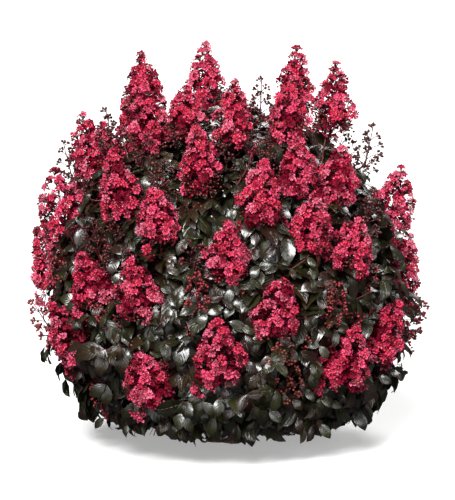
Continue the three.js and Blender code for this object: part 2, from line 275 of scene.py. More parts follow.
@dataclass(frozen=True)
class Tier:
    """The heads at one height: rise is a share of the plant's height, open and budded hold angles.

    For open heads that differ from most, the lengths and girths are shares of the usual ones, and the
    lifts are how much higher than the tier such a head stands, as a share of the plant's height.
    """

    rise: float
    open: tuple[float, ...] = ()
    budded: tuple[float, ...] = ()
    depth: float = 0.88
    round: bool = False
    lengths: dict[float, float] = field(default_factory=dict)
    girths: dict[float, float] = field(default_factory=dict)
    lifts: dict[float, float] = field(default_factory=dict)


TIERS = (
    Tier(0.92, (-152,), depth=0.9),
    Tier(0.897, (-107, 133), depth=0.95),
    Tier(0.885, (), (28,)),
    Tier(0.873, (101,), depth=0.96, lengths={101: 1.04}),
    Tier(0.867, (-30, 4, 50), lengths={-30: 0.74}),
    Tier(0.836, (-57,)),
    Tier(0.79, (150, -172, -128), (-88,)),
    Tier(0.745, (-97,), (97,), depth=0.91, girths={-97: 1.25}),
    Tier(0.745, (-13, 31), round=True, lengths={-13: 1.16, 31: 0.86}, lifts={-13: 0.024, 31: 0.006}),
    Tier(0.7, (), (-95,), depth=0.94),
    Tier(0.7, (-48, 13, 50), (-28,), round=True, lengths={50: 0.82}, lifts={50: 0.012}),
    Tier(0.616, (-85, 93), depth=0.915, girths={-85: 1.32, 93: 1.24}),
    Tier(0.607, (-26, 31), (60,), round=True, lengths={-26: 0.93, 31: 0.90}, lifts={-26: 0.035, 31: 0.014}),
    Tier(0.555, (0, 47), (-50,), round=True, lengths={0: 0.96, 47: 0.72}, lifts={0: 0.012}),
    Tier(0.475, (-91,), depth=0.915),
    Tier(0.46, (-51, -31, 90), (-10,), round=True, lengths={-51: 0.84, 90: 0.84}, lifts={-51: 0.012}),
    Tier(0.41, (16,), (37,), round=True, lifts={16: 0.010}),
    Tier(0.31, (), (-88, 87), depth=0.96),
    Tier(0.31, (-69, -3, 64), round=True, lifts={-3: 0.022, 64: 0.008}),
    Tier(0.225, (-28, 43), (22,), round=True, lengths={-28: 0.80, 43: 0.90}, lifts={-28: 0.022, 43: 0.056}),
    Tier(0.15, (), (-57, 83), round=True),
)


@dataclass
class HeadPlan:
    """Places every head of blossom, tier by tier, as the part's source does."""

    crown: Crown
    seed: int = 11
    lean: float = math.radians(42)
    lean_shares: Span = Span(0.8, 0.4)
    sizes: Span = Span(0.92, 0.16)
    front_half: float = 80
    back_turn: float = 187
    rise_spread: float = 0.012
    neighbour_reach: float = 0.4
    spacing: float = 0.004
    lump: float = 0.12
    filling: float = 0.75
    widths: Table = ((0.3, 1.09), (0.55, 0.97), (0.9, 0.90))
    proud: Table = ((0.33, 0.045), (0.55, 0.0))
    bay: Table = ((0.0, 0.89), (0.09, 1.0))
    neck: float = 0.085
    neck_radius: float = 0.009
    profile: Table = ((0, 0), (0.14, 0.88), (0.4, 0.98), (0.74, 0.6), (1, 0))
    points_at_once: int = 20000
    heads: list[Head] = field(default_factory=list)

    def __post_init__(self) -> None:
        """Makes the heads and gathers their sizes in arrays."""
        random = Seeded(self.seed)
        for tier in TIERS:
            front = [(a, HeadKind.OPEN) for a in tier.open] + [(a, HeadKind.BUDDED) for a in tier.budded]
            repeated = [pair for pair in front if tier.round and abs(pair[0]) < self.front_half]
            for angle, kind in front + [(a + self.back_turn, kind) for a, kind in repeated]:
                self.heads.append(self.make(math.radians(angle), tier, kind, random))
        for i, head in enumerate(self.heads):
            for other in self.heads[:i]:
                self.make_room(head, other)
        for head in self.heads:
            wide = read(self.widths, head.foot[2])
            head.radius = lerp(head.radius, head.full_radius, self.filling) * wide
        self.feet = np.array([head.foot for head in self.heads])
        self.axes = np.array([head.axis for head in self.heads])
        self.lengths = np.array([head.length for head in self.heads])
        self.radii = np.array([head.radius for head in self.heads])

    def make(self, angle: float, tier: Tier, kind: HeadKind, random: Seeded) -> Head:
        """Makes one head.

        Args:
            angle: where it stands round the plant.
            tier: the tier it belongs to.
            kind: open or in bud.
            random: the stream that its small differences come from.

        Returns:
            The head.
        """
        place = round(math.degrees(angle))
        rise = tier.rise + self.rise_spread * (random() - 0.5)
        rise += tier.lifts.get(place, 0.0)
        depth = tier.depth
        if kind is HeadKind.OPEN:
            depth += read(self.proud, rise) * abs(math.cos(angle))
        middle = self.crown.point(angle, rise * self.crown.height, depth)
        axis = heading(angle, TURN / 4 - self.lean * (1 - rise) * self.lean_shares.at(random()))
        length = kind.value[0] * self.sizes.at(random()) * tier.lengths.get(place, 1.0)
        radius = kind.value[1] * self.sizes.at(random()) * tier.girths.get(place, 1.0)
        return Head(kind, middle - axis * length / 2, axis, length, radius, radius)

    def across_at(self, t: float | np.ndarray) -> float | np.ndarray:
        """The share of a head's full radius at shares of its length."""
        return read(self.profile, t)

    def section(self, head: Head, p: np.ndarray) -> tuple[float, float]:
        """How far a point is from a head's axis, and the head's own radius there.

        Args:
            head: the head.
            p: the point.

        Returns:
            The distance and the radius.
        """
        t = min(1.0, max(0.0, float((p - head.foot) @ head.axis) / head.length))
        apart = float(np.linalg.norm(p - head.foot - head.axis * t * head.length))
        return apart, head.radius * (1 + self.lump) * self.across_at(t)

    def make_room(self, head: Head, other: Head) -> None:
        """Makes two heads slimmer where they would crowd each other.

        Args:
            head: one of them.
            other: the other one.
        """
        if np.linalg.norm(head.foot - other.foot) > self.neighbour_reach:
            return
        for along, _ in self.profile:
            p = head.foot + head.axis * along * head.length
            apart, radius = self.section(other, p)
            share = min(1.0, (apart - self.spacing) / max(TINY, self.section(head, p)[1] + radius))
            head.radius *= share
            other.radius *= share

    def distance(self, p: np.ndarray) -> np.ndarray:
        """How far points are outside the nearest head.

        Args:
            p: the points, one a row.

        Returns:
            The distances, negative inside a head.
        """
        found = np.empty(len(p))
        for i in range(0, len(p), self.points_at_once):
            some = slice(i, i + self.points_at_once)
            away = p[some, None, :] - self.feet
            t = np.clip((away * self.axes).sum(-1) / self.lengths, -self.neck / self.lengths, 1)
            apart = np.linalg.norm(away - self.axes * (t * self.lengths)[..., None], axis=-1)
            wide = np.where(t < 0, self.neck_radius, self.radii * (1 + self.lump) * self.across_at(t))
            found[some] = (apart - wide).min(-1)
        return found


@dataclass(frozen=True)
class Ring:
    """A ring of masses, each on a bough that leaves the stem at a height, radius and climb."""

    name: str
    count: int
    turn: float
    height: float
    limb_height: float
    limb_radius: float
    climb: float
    girth: float


RINGS = (
    Ring("skirt", 7, 0, 0.190, 0.062, 0.054, 16, 0.0080),
    Ring("waist", 7, 26, 0.450, 0.092, 0.046, 58, 0.0095),
    Ring("shoulder", 6, 0, 0.725, 0.114, 0.029, 74, 0.0090),
    Ring("top", 3, 20, 0.880, 0.124, 0.013, 84, 0.0085),
)


@dataclass(frozen=True)
class Mass:
    """A mass of foliage: its ring and number, its middle and the curve of the bough that leads there."""

    ring: Ring
    number: int
    middle: np.ndarray
    curve: Curve

    @property
    def node(self) -> str:
        """The end of the names of its nodes in the frame."""
        return f"{self.ring.name}_{self.number}"


@dataclass
class MassPlan:
    """Places the masses of foliage in their rings, as the part's source does."""

    crown: Crown
    depth: float = 0.66
    leaving_pull: float = 0.4
    arriving_pull: float = 0.3
    masses: list[Mass] = field(default_factory=list)

    def __post_init__(self) -> None:
        """Makes the masses."""
        for ring in RINGS:
            for i in range(ring.count):
                angle = math.radians(ring.turn) + TURN * i / ring.count
                middle = self.crown.point(angle, ring.height, self.depth)
                start = heading(angle) * ring.limb_radius + UP * ring.limb_height
                reach = float(np.linalg.norm(middle - start))
                leaving = heading(angle, math.radians(ring.climb))
                arriving = unit(unit(middle - UP * self.crown.heart) + UP)
                after = start + self.leaving_pull * reach * leaving
                before = middle - self.arriving_pull * reach * arriving
                curve = Curve(np.array([start, after, before, middle]))
                self.masses.append(Mass(ring, i + 1, middle, curve))
        self.middles = np.array([mass.middle for mass in self.masses])

    def on(self, ring: Ring) -> list[Mass]:
        """The masses of a ring."""
        return [mass for mass in self.masses if mass.ring is ring]

    def nearest(self, p: np.ndarray) -> np.ndarray:
        """The index of the mass whose middle is nearest to each point."""
        return np.linalg.norm(p[..., None, :] - self.middles, axis=-1).argmin(-1)


# ---------------------------------------------------------------- shader graphs


class Value:
    """A number that a shader works out. Arithmetic on it adds Math nodes."""

    def __init__(self, graph: "Graph", socket: bpy.types.NodeSocket) -> None:
        """Wraps an output socket of a node in a graph."""
        self.graph = graph
        self.socket = socket

    def _math(self, operation: str, a: "Value | float", b: "Value | float") -> "Value":
        """The Math node of an operation on two numbers."""
        return self.graph.node("ShaderNodeMath", {"operation": operation}, {0: a, 1: b})

    def __add__(self, other: "Value | float") -> "Value":
        """The sum."""
        return self._math("ADD", self, other)

    __radd__ = __add__

    def __sub__(self, other: "Value | float") -> "Value":
        """The difference."""
        return self._math("SUBTRACT", self, other)

    def __rsub__(self, other: float) -> "Value":
        """The difference, the other way round."""
        return self._math("SUBTRACT", other, self)

    def __mul__(self, other: "Value | float") -> "Value":
        """The product."""
        return self._math("MULTIPLY", self, other)

    __rmul__ = __mul__

    def absolute(self) -> "Value":
        """The number without its sign."""
        return self._math("ABSOLUTE", self, 0.0)

    def between(self, low: float, high: float) -> "Value":
        """A smooth step from 0 at low to 1 at high.

        Args:
            low: where the step starts.
            high: where the step ends.

        Returns:
            The step.
        """
        settings = {"interpolation_type": "SMOOTHSTEP"}
        inputs = {"Value": self, "From Min": low, "From Max": high}
        return self.graph.node("ShaderNodeMapRange", settings, inputs)


class Graph:
    """A material's nodes around one Principled shader."""

    def __init__(self, name: str) -> None:
        """Makes the material with its shader and output.

        Args:
            name: the material's name.
        """
        self.material = bpy.data.materials.new(name)
        self.material.use_nodes = True
        self.tree = self.material.node_tree
        self.shader = self.tree.nodes["Principled BSDF"]

    def node(
        self,
        kind: str,
        settings: dict[str, object] | None = None,
        inputs: dict[str | int, object] | None = None,
        output: str | int = 0,
    ) -> Value:
        """Adds a node.

        Args:
            kind: its type.
            settings: its own settings.
            inputs: the values or links of its sockets.
            output: which of its outputs is wanted.

        Returns:
            That output.
        """
        made = self.tree.nodes.new(kind)
        for key, value in (settings or {}).items():
            setattr(made, key, value)
        for key, value in (inputs or {}).items():
            self.feed(made.inputs[key], value)
        return Value(self, made.outputs[output])

    def feed(self, socket: bpy.types.NodeSocket, value: object) -> None:
        """Links a value to a socket, or sets it there.

        Args:
            socket: the socket.
            value: a value of the graph, a colour or a plain number.
        """
        if isinstance(value, Value):
            self.tree.links.new(value.socket, socket)
        elif isinstance(value, tuple) and len(value) == 3 and socket.type == "RGBA":
            socket.default_value = (*value, 1)
        else:
            socket.default_value = value

    def mix(self, share: Value | float, a: Value | Colour, b: Value | Colour) -> Value:
        """A colour between two colours."""
        return self.node("ShaderNodeMix", {"data_type": "RGBA"}, {0: share, 6: a, 7: b}, 2)

    def sine(self, value: Value) -> Value:
        """The sine of a number."""
        return self.node("ShaderNodeMath", {"operation": "SINE"}, {0: value})

    def noise(self, scale: float, detail: float = 2.0, stretch: Triple = (1, 1, 1)) -> Value:
        """A cloudy pattern in the object's own space.

        Args:
            scale: how fine it is, larger for smaller clouds.
            detail: how many finer layers lie on it.
            stretch: what each direction is multiplied by first.

        Returns:
            The pattern.
        """
        place = self.node("ShaderNodeTexCoord", output="Object")
        if stretch != (1, 1, 1):
            place = self.node("ShaderNodeMapping", {}, {"Vector": place, "Scale": stretch})
        return self.node("ShaderNodeTexNoise", {}, {"Vector": place, "Scale": scale, "Detail": detail})

    def mark(self) -> tuple[Value, Value, Value]:
        """The three numbers that each vertex carries: across, along and tint.

        Returns:
            The three numbers.
        """
        whole = self.node("ShaderNodeAttribute", {"attribute_name": "mark"}, output="Vector")
        split = self.node("ShaderNodeSeparateXYZ", {}, {0: whole})
        return tuple(Value(self, socket) for socket in split.socket.node.outputs)

    def finish(
        self, bump: Value | None = None, distance: float = 0.0, **sockets: object
    ) -> bpy.types.Material:
        """Sets the shader's sockets.

        Args:
            bump: a height that the surface is raised by.
            distance: how far, in metres.
            sockets: the shader's sockets, with underscores for spaces.

        Returns:
            The material.
        """
        for key, value in sockets.items():
            self.feed(self.shader.inputs[key.replace("_", " ")], value)
        if bump is not None:
            normal = self.node("ShaderNodeBump", {}, {"Height": bump, "Distance": distance})
            self.feed(self.shader.inputs["Normal"], normal)
        return self.material


# ---------------------------------------------------------------- finishes


@dataclass(frozen=True)
class LeafFinish:
    """A glossy leaf: two near tones, a paler midrib and fine side veins."""

    name: str
    dark: Colour
    light: Colour
    vein: Colour
    roughness: float = 0.34
    cloud_scale: float = 38.0
    rib_edge: tuple[float, float] = (0.02, 0.12)
    vein_edge: tuple[float, float] = (0.55, 1.0)
    vein_turns: float = 44
    vein_slant: float = 0.32
    relief: float = 0.0008
    gloss: float = 0.7
    wax: float = 1.0
    wax_roughness: float = 0.25

    def material(self) -> bpy.types.Material:
        """Makes the material.

        Returns:
            The material.
        """
        graph = Graph(self.name)
        aside, along, tint = graph.mark()
        cloud = graph.noise(self.cloud_scale, 3.0)
        blade = graph.mix(tint * 0.7 + cloud * 0.3, self.dark, self.light)
        rib = 1 - aside.absolute().between(*self.rib_edge)
        wave = graph.sine((along - aside.absolute() * self.vein_slant) * self.vein_turns)
        veins = wave.between(*self.vein_edge)
        marked = (rib * 0.55 + veins * 0.18) * 0.8
        return graph.finish(
            bump=cloud * 2.6 + wave * 0.36 - rib,
            distance=self.relief,
            Base_Color=graph.mix(marked, blade, self.vein),
            Roughness=cloud * 0.24 + (self.roughness - 0.12),
            Specular_IOR_Level=self.gloss,
            Coat_Weight=self.wax,
            Coat_Roughness=self.wax_roughness,
        )


@dataclass(frozen=True)
class PetalFinish:
    """A thin crinkled petal: painted shade darkens it towards its claw, at its middle crease and at its
    edges, and painted highlights lighten the ridges halfway out on each side.
    """

    name: str
    deep: Colour
    bright: Colour
    # the colour of the painted highlights on the ridges of each petal's fold
    painted_highlight: Colour = (0.93, 0.50, 0.60)
    crinkle_scale: float = 340.0
    # where the painted shade at the claw gives way to the blade's full colour
    claw_shade_edge: tuple[float, float] = (0.2, 0.9)
    fleck_edge: tuple[float, float] = (0.36, 0.64)
    painted_highlight_edge: tuple[float, float] = (0.52, 0.68)
    relief: float = 0.0018
    gloss: float = 0.1

    def material(self) -> bpy.types.Material:
        """Makes the material.

        Returns:
            The material.
        """
        graph = Graph(self.name)
        aside, along, tint = graph.mark()
        crinkle = graph.noise(self.crinkle_scale, 3.0)
        # the fold's shape across each petal: 0 at its middle crease and its edges, 1 halfway out. It gives
        # the fold's bump, paints shade in the creases and paints light on the ridges
        fold_relief_and_shade = 1 - (aside.absolute() * 2 - 1).absolute()
        # the blade's share: 0 at the claw, where shade is painted, up to 1 out on the blade
        blade = along.between(*self.claw_shade_edge)
        fleck = crinkle.between(*self.fleck_edge)
        # deep to bright: the blade's and the fold's shares are painted shade, towards the claw and in the
        # creases; tint and fleck are the petal's own tones
        share = blade * 0.50 + tint * 0.22 + fleck * 0.34 + fold_relief_and_shade * 0.32 - 0.22
        # painted highlight: pale glints where the crinkle pattern peaks on the ridges of the fold, out on the
        # blade
        painted_highlight = crinkle.between(*self.painted_highlight_edge) * fold_relief_and_shade * blade
        return graph.finish(
            bump=crinkle * 0.7 + fold_relief_and_shade * 0.4,
            distance=self.relief,
            Base_Color=graph.mix(painted_highlight * 0.9, graph.mix(share, self.deep, self.bright), self.painted_highlight),
            Roughness=crinkle * 0.2 + 0.45,
            Specular_IOR_Level=self.gloss,
        )


@dataclass(frozen=True)
class SmallFinish:
    """The finish of a bud, a tuft of stamens, a stalk or a twig: two tones in a fine cloud."""

    name: str
    low: Colour
    high: Colour
    roughness: float = 0.42
    scale: float = 160.0
    relief: float = 0.0005

    def material(self) -> bpy.types.Material:
        """Makes the material.

        Returns:
            The material.
        """
        graph = Graph(self.name)
        _, along, tint = graph.mark()
        cloud = graph.noise(self.scale, 2.0)
        return graph.finish(
            bump=cloud,
            distance=self.relief,
            Base_Color=graph.mix(along * 0.45 + tint * 0.35 + cloud * 0.2, self.low, self.high),
            Roughness=cloud * 0.2 + (self.roughness - 0.1),
        )


@dataclass(frozen=True)
class BarkFinish:
    """Smooth bark that sheds in flakes: pale patches where it is fresh, darker where it is old."""

    name: str
    old: Colour
    fresh: Colour
    grey: Colour
    scale: float = 34.0
    flake_edge: tuple[float, float] = (0.47, 0.55)
    worn_edge: tuple[float, float] = (0.45, 0.65)
    relief: float = 0.0009

    def material(self) -> bpy.types.Material:
        """Makes the material.

        Returns:
            The material.
        """
        graph = Graph(self.name)
        patches = graph.noise(self.scale, 4.0, (1.0, 1.0, 0.4))
        grain = graph.noise(self.scale * 9, 3.0, (1.0, 1.0, 0.3))
        flake = patches.between(*self.flake_edge)
        worn = graph.noise(self.scale * 0.6, 2.0).between(*self.worn_edge)
        colour = graph.mix(flake, self.old, self.fresh)
        colour = graph.mix(worn * 0.45, colour, self.grey)
        return graph.finish(
            bump=flake * 0.5 + grain * 0.35,
            distance=self.relief,
            Base_Color=graph.mix(grain * 0.35, colour, self.old),
            Roughness=0.82 - flake * 0.22 + grain * 0.1,
        )


@dataclass(frozen=True)
class FloorFinish:
    """A pale matt floor."""

    name: str = "pale_floor"
    colour: Colour = (0.86, 0.86, 0.855)
    shade: float = 0.985
    glow: float = 0.42

    def material(self) -> bpy.types.Material:
        """Makes the material.

        Returns:
            The material.
        """
        graph = Graph(self.name)
        cloud = graph.noise(1.5, 2.0)
        darker: Colour = tuple(self.shade * c for c in self.colour)
        return graph.finish(
            Base_Color=graph.mix(cloud, self.colour, darker),
            Roughness=cloud * 0.1 + 0.8,
            Emission_Color=self.colour,
            Emission_Strength=self.glow,
        )


OLD_BARK = BarkFinish("mottled_bark", (0.145, 0.075, 0.045), (0.36, 0.235, 0.16), (0.26, 0.23, 0.20))
YOUNG_BARK = BarkFinish("young_bark", (0.085, 0.032, 0.026), (0.20, 0.10, 0.07), (0.13, 0.09, 0.08), 55.0)
TWIG_WOOD = SmallFinish("maroon_twigs", (0.055, 0.007, 0.010), (0.19, 0.022, 0.030), 0.5, 90.0)
STALK_WOOD = SmallFinish("wine_stalks", (0.040, 0.006, 0.009), (0.15, 0.022, 0.028), 0.5, 200.0)
STAMENS = SmallFinish("golden_stamens", (0.55, 0.07, 0.02), (0.88, 0.46, 0.20), 0.6, 300.0)
LEAF_FINISHES = (
    LeafFinish("night_green_leaf", (0.0060, 0.0059, 0.0009), (0.0190, 0.0184, 0.0040), (0.042, 0.039, 0.013)),
    LeafFinish("plum_leaf", (0.0112, 0.0038, 0.0012), (0.0275, 0.0115, 0.0044), (0.056, 0.027, 0.012)),
    LeafFinish("bronze_leaf", (0.0155, 0.0084, 0.0017), (0.035, 0.0200, 0.0050), (0.066, 0.040, 0.013)),
    LeafFinish("olive_leaf", (0.0110, 0.0116, 0.0018), (0.029, 0.029, 0.0060), (0.060, 0.056, 0.016)),
)
PETAL_FINISHES = (
    PetalFinish("crimson_petal", (0.25, 0.0005, 0.013), (0.80, 0.027, 0.110)),
    PetalFinish("rose_petal", (0.29, 0.0007, 0.019), (0.88, 0.074, 0.195)),
    PetalFinish("pink_petal", (0.34, 0.0014, 0.030), (0.92, 0.180, 0.31)),
    # the wine tone is a dark tone of a few tufts, and it is also painted shade on the flowers that fill each
    # head's middle
    PetalFinish("wine_and_shade_petal", (0.07, 0.0004, 0.005), (0.25, 0.003, 0.024), (0.42, 0.015, 0.06)),
)
BUD_FINISHES = (
    SmallFinish("buds_maroon", (0.022, 0.005, 0.005), (0.11, 0.022, 0.022)),
    SmallFinish("buds_russet", (0.050, 0.007, 0.006), (0.29, 0.060, 0.042)),
    SmallFinish("buds_crimson", (0.09, 0.005, 0.009), (0.42, 0.048, 0.060)),
)


# ---------------------------------------------------------------- meshes


@dataclass(frozen=True)
class Shape:
    """A small mesh that is repeated: its points, its faces and the marks of its points."""

    points: np.ndarray
    corners: np.ndarray
    sizes: np.ndarray
    marks: np.ndarray

    @staticmethod
    def of(bm: bmesh.types.BMesh, mark: Callable[[Vector], tuple[float, float]] | None = None) -> "Shape":
        """Takes a shape out of a bmesh and frees it.

        Args:
            bm: the bmesh.
            mark: gives the across and along marks of a point; without it they are 0.

        Returns:
            The shape.
        """
        bm.verts.index_update()
        points = np.array([v.co for v in bm.verts], float)
        marks = np.array([(mark(v.co) if mark else (0.0, 0.0)) for v in bm.verts], float)
        corners = np.array([v.index for f in bm.faces for v in f.verts], np.int32)
        sizes = np.array([len(f.verts) for f in bm.faces], np.int32)
        bm.free()
        return Shape(points, corners, sizes, marks)


@dataclass
class JoinedMesh:
    """Many small shapes gathered into one mesh from arrays."""

    points: list[np.ndarray] = field(default_factory=list)
    corners: list[np.ndarray] = field(default_factory=list)
    sizes: list[np.ndarray] = field(default_factory=list)
    marks: list[np.ndarray] = field(default_factory=list)
    count: int = 0

    def add(self, shape: Shape, turns: np.ndarray, places: np.ndarray, tints: np.ndarray) -> None:
        """Adds copies of a shape.

        Args:
            shape: the shape.
            turns: a 3 by 3 matrix for each copy, its size included.
            places: where each copy stands.
            tints: a number from 0 to 1 for each copy.
        """
        copies, each = len(places), len(shape.points)
        if not copies:
            return
        moved = np.einsum("kij,nj->kni", turns, shape.points) + places[:, None, :]
        marks = np.empty((copies, each, 3))
        marks[:, :, :2] = shape.marks
        marks[:, :, 2] = tints[:, None]
        firsts = self.count + each * np.arange(copies)
        self._take(moved, shape.corners + firsts[:, None], np.tile(shape.sizes, copies), marks)

    def add_tubes(self, paths: np.ndarray, radii: np.ndarray, sides: int, tints: np.ndarray) -> None:
        """Adds tubes with closed ends.

        Args:
            paths: the points of each tube's middle line, all with the same number of points.
            radii: the radius at each of those points.
            sides: how many sides the tubes have.
            tints: a number from 0 to 1 for each tube.
        """
        copies, rings = paths.shape[:2]
        if not copies:
            return
        along = unit(np.gradient(paths, axis=1))
        whole = unit(paths[:, -1] - paths[:, 0])
        guide = across(whole)[0][:, None, :]
        side = unit(guide - (guide * along).sum(-1, keepdims=True) * along)
        other = np.cross(along, side)
        turn = TURN * np.arange(sides) / sides
        circle = side[:, :, None] * np.cos(turn)[:, None] + other[:, :, None] * np.sin(turn)[:, None]
        moved = paths[:, :, None] + circle * radii[:, :, None, None]
        ring, place = np.meshgrid(np.arange(rings - 1), np.arange(sides), indexing="ij")
        after = (place + 1) % sides
        below, above = ring * sides, (ring + 1) * sides
        walls = np.stack([below + place, below + after, above + after, above + place], -1)
        foot, tip = np.arange(sides)[::-1], (rings - 1) * sides + np.arange(sides)
        corners = np.concatenate([walls.ravel(), foot, tip])
        sizes = np.array([4] * (sides * (rings - 1)) + [sides] * 2)
        marks = np.zeros((copies, rings, sides, 3))
        marks[..., 1] = np.linspace(0, 1, rings)[None, :, None]
        marks[..., 2] = tints[:, None, None]
        firsts = self.count + rings * sides * np.arange(copies)
        self._take(moved, corners + firsts[:, None], np.tile(sizes, copies), marks)

    def _take(self, points: np.ndarray, corners: np.ndarray, sizes: np.ndarray, marks: np.ndarray) -> None:
        """Keeps the arrays of some copies.

        Args:
            points: their points.
            corners: the faces' corners, counted in the whole mesh.
            sizes: the number of corners of each face.
            marks: the mark of each point.
        """
        self.points.append(points.reshape(-1, 3))
        self.corners.append(corners.ravel())
        self.sizes.append(sizes)
        self.marks.append(marks.reshape(-1, 3))
        self.count += len(self.points[-1])

    def build(self, name: str, material: bpy.types.Material, smooth: bool = True) -> bpy.types.Object:
        """Makes the object.

        Args:
            name: its name.
            material: its only material.
            smooth: whether its faces are shaded smooth.

        Returns:
            The object, linked to the scene.
        """
        points, corners = np.concatenate(self.points), np.concatenate(self.corners)
        sizes = np.concatenate(self.sizes)
        mesh = bpy.data.meshes.new(name)
        mesh.vertices.add(len(points))
        mesh.vertices.foreach_set("co", points.ravel().astype(np.float32))
        mesh.loops.add(len(corners))
        mesh.loops.foreach_set("vertex_index", corners.astype(np.int32))
        mesh.polygons.add(len(sizes))
        starts = np.concatenate([[0], np.cumsum(sizes)[:-1]])
        mesh.polygons.foreach_set("loop_start", starts.astype(np.int32))
        mesh.polygons.foreach_set("loop_total", sizes.astype(np.int32))
        mesh.polygons.foreach_set("use_smooth", np.full(len(sizes), smooth))
        attribute = mesh.attributes.new("mark", "FLOAT_VECTOR", "POINT")
        attribute.data.foreach_set("vector", np.concatenate(self.marks).ravel().astype(np.float32))
        mesh.update(calc_edges=True)
        mesh.validate()
        return placed(name, mesh, material)


def finished(bm: bmesh.types.BMesh, name: str, smooth: bool = True) -> bpy.types.Mesh:
    """Makes a mesh of a bmesh, with its faces in the same order each run, and frees the bmesh.

    Args:
        bm: the bmesh.
        name: the mesh's name.
        smooth: whether it is a closed shape whose faces are turned outwards and shaded smooth.

    Returns:
        The mesh.
    """
    if smooth:
        bmesh.ops.recalc_face_normals(bm, faces=bm.faces)
    for face in bm.faces:
        face.smooth = smooth
    bm.verts.index_update()
    count = len(bm.verts)
    bm.faces.sort(key=lambda face: face.verts[0].index * count + face.verts[1].index)
    mesh = bpy.data.meshes.new(name)
    bm.to_mesh(mesh)
    bm.free()
    return mesh


def placed(name: str, mesh: bpy.types.Mesh, material: bpy.types.Material) -> bpy.types.Object:
    """An object for a mesh, with its material, linked to the scene.

    Args:
        name: the object's name.
        mesh: its mesh.
        material: the only material of the mesh.

    Returns:
        The object.
    """
    made = bpy.data.objects.new(name, mesh)
    mesh.materials.append(material)
    bpy.context.scene.collection.objects.link(made)
    return made


def settle(piece: bpy.types.Object, nodes: Sequence[str] = ()) -> None:
    """Ties a piece to the frame and reports it.

    Args:
        piece: the piece.
        nodes: the nodes of the frame that it stands for.
    """
    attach(piece, BODY)
    if nodes:
        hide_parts(*nodes)
    triangles = sum(len(p.vertices) - 2 for p in piece.data.polygons)
    LOG.info("%s: %d triangles, stands for %d nodes", piece.name, triangles, len(nodes))


def extruded(bm: bmesh.types.BMesh, ring: list[bmesh.types.BMVert]) -> list[bmesh.types.BMVert]:
    """Extrudes a closed ring of vertices.

    Args:
        bm: the bmesh.
        ring: the ring's vertices, in order.

    Returns:
        The new ring, in the same order.
    """
    pairs = zip(ring, ring[-1:] + ring[:-1])
    edges = [e for v, before in pairs for e in v.link_edges if e.other_vert(v) == before]
    grown = set(bmesh.ops.extrude_edge_only(bm, edges=edges)["geom"])
    return [next(e.other_vert(v) for e in v.link_edges if e.other_vert(v) in grown) for v in ring]


# ---------------------------------------------------------------- stem and boughs


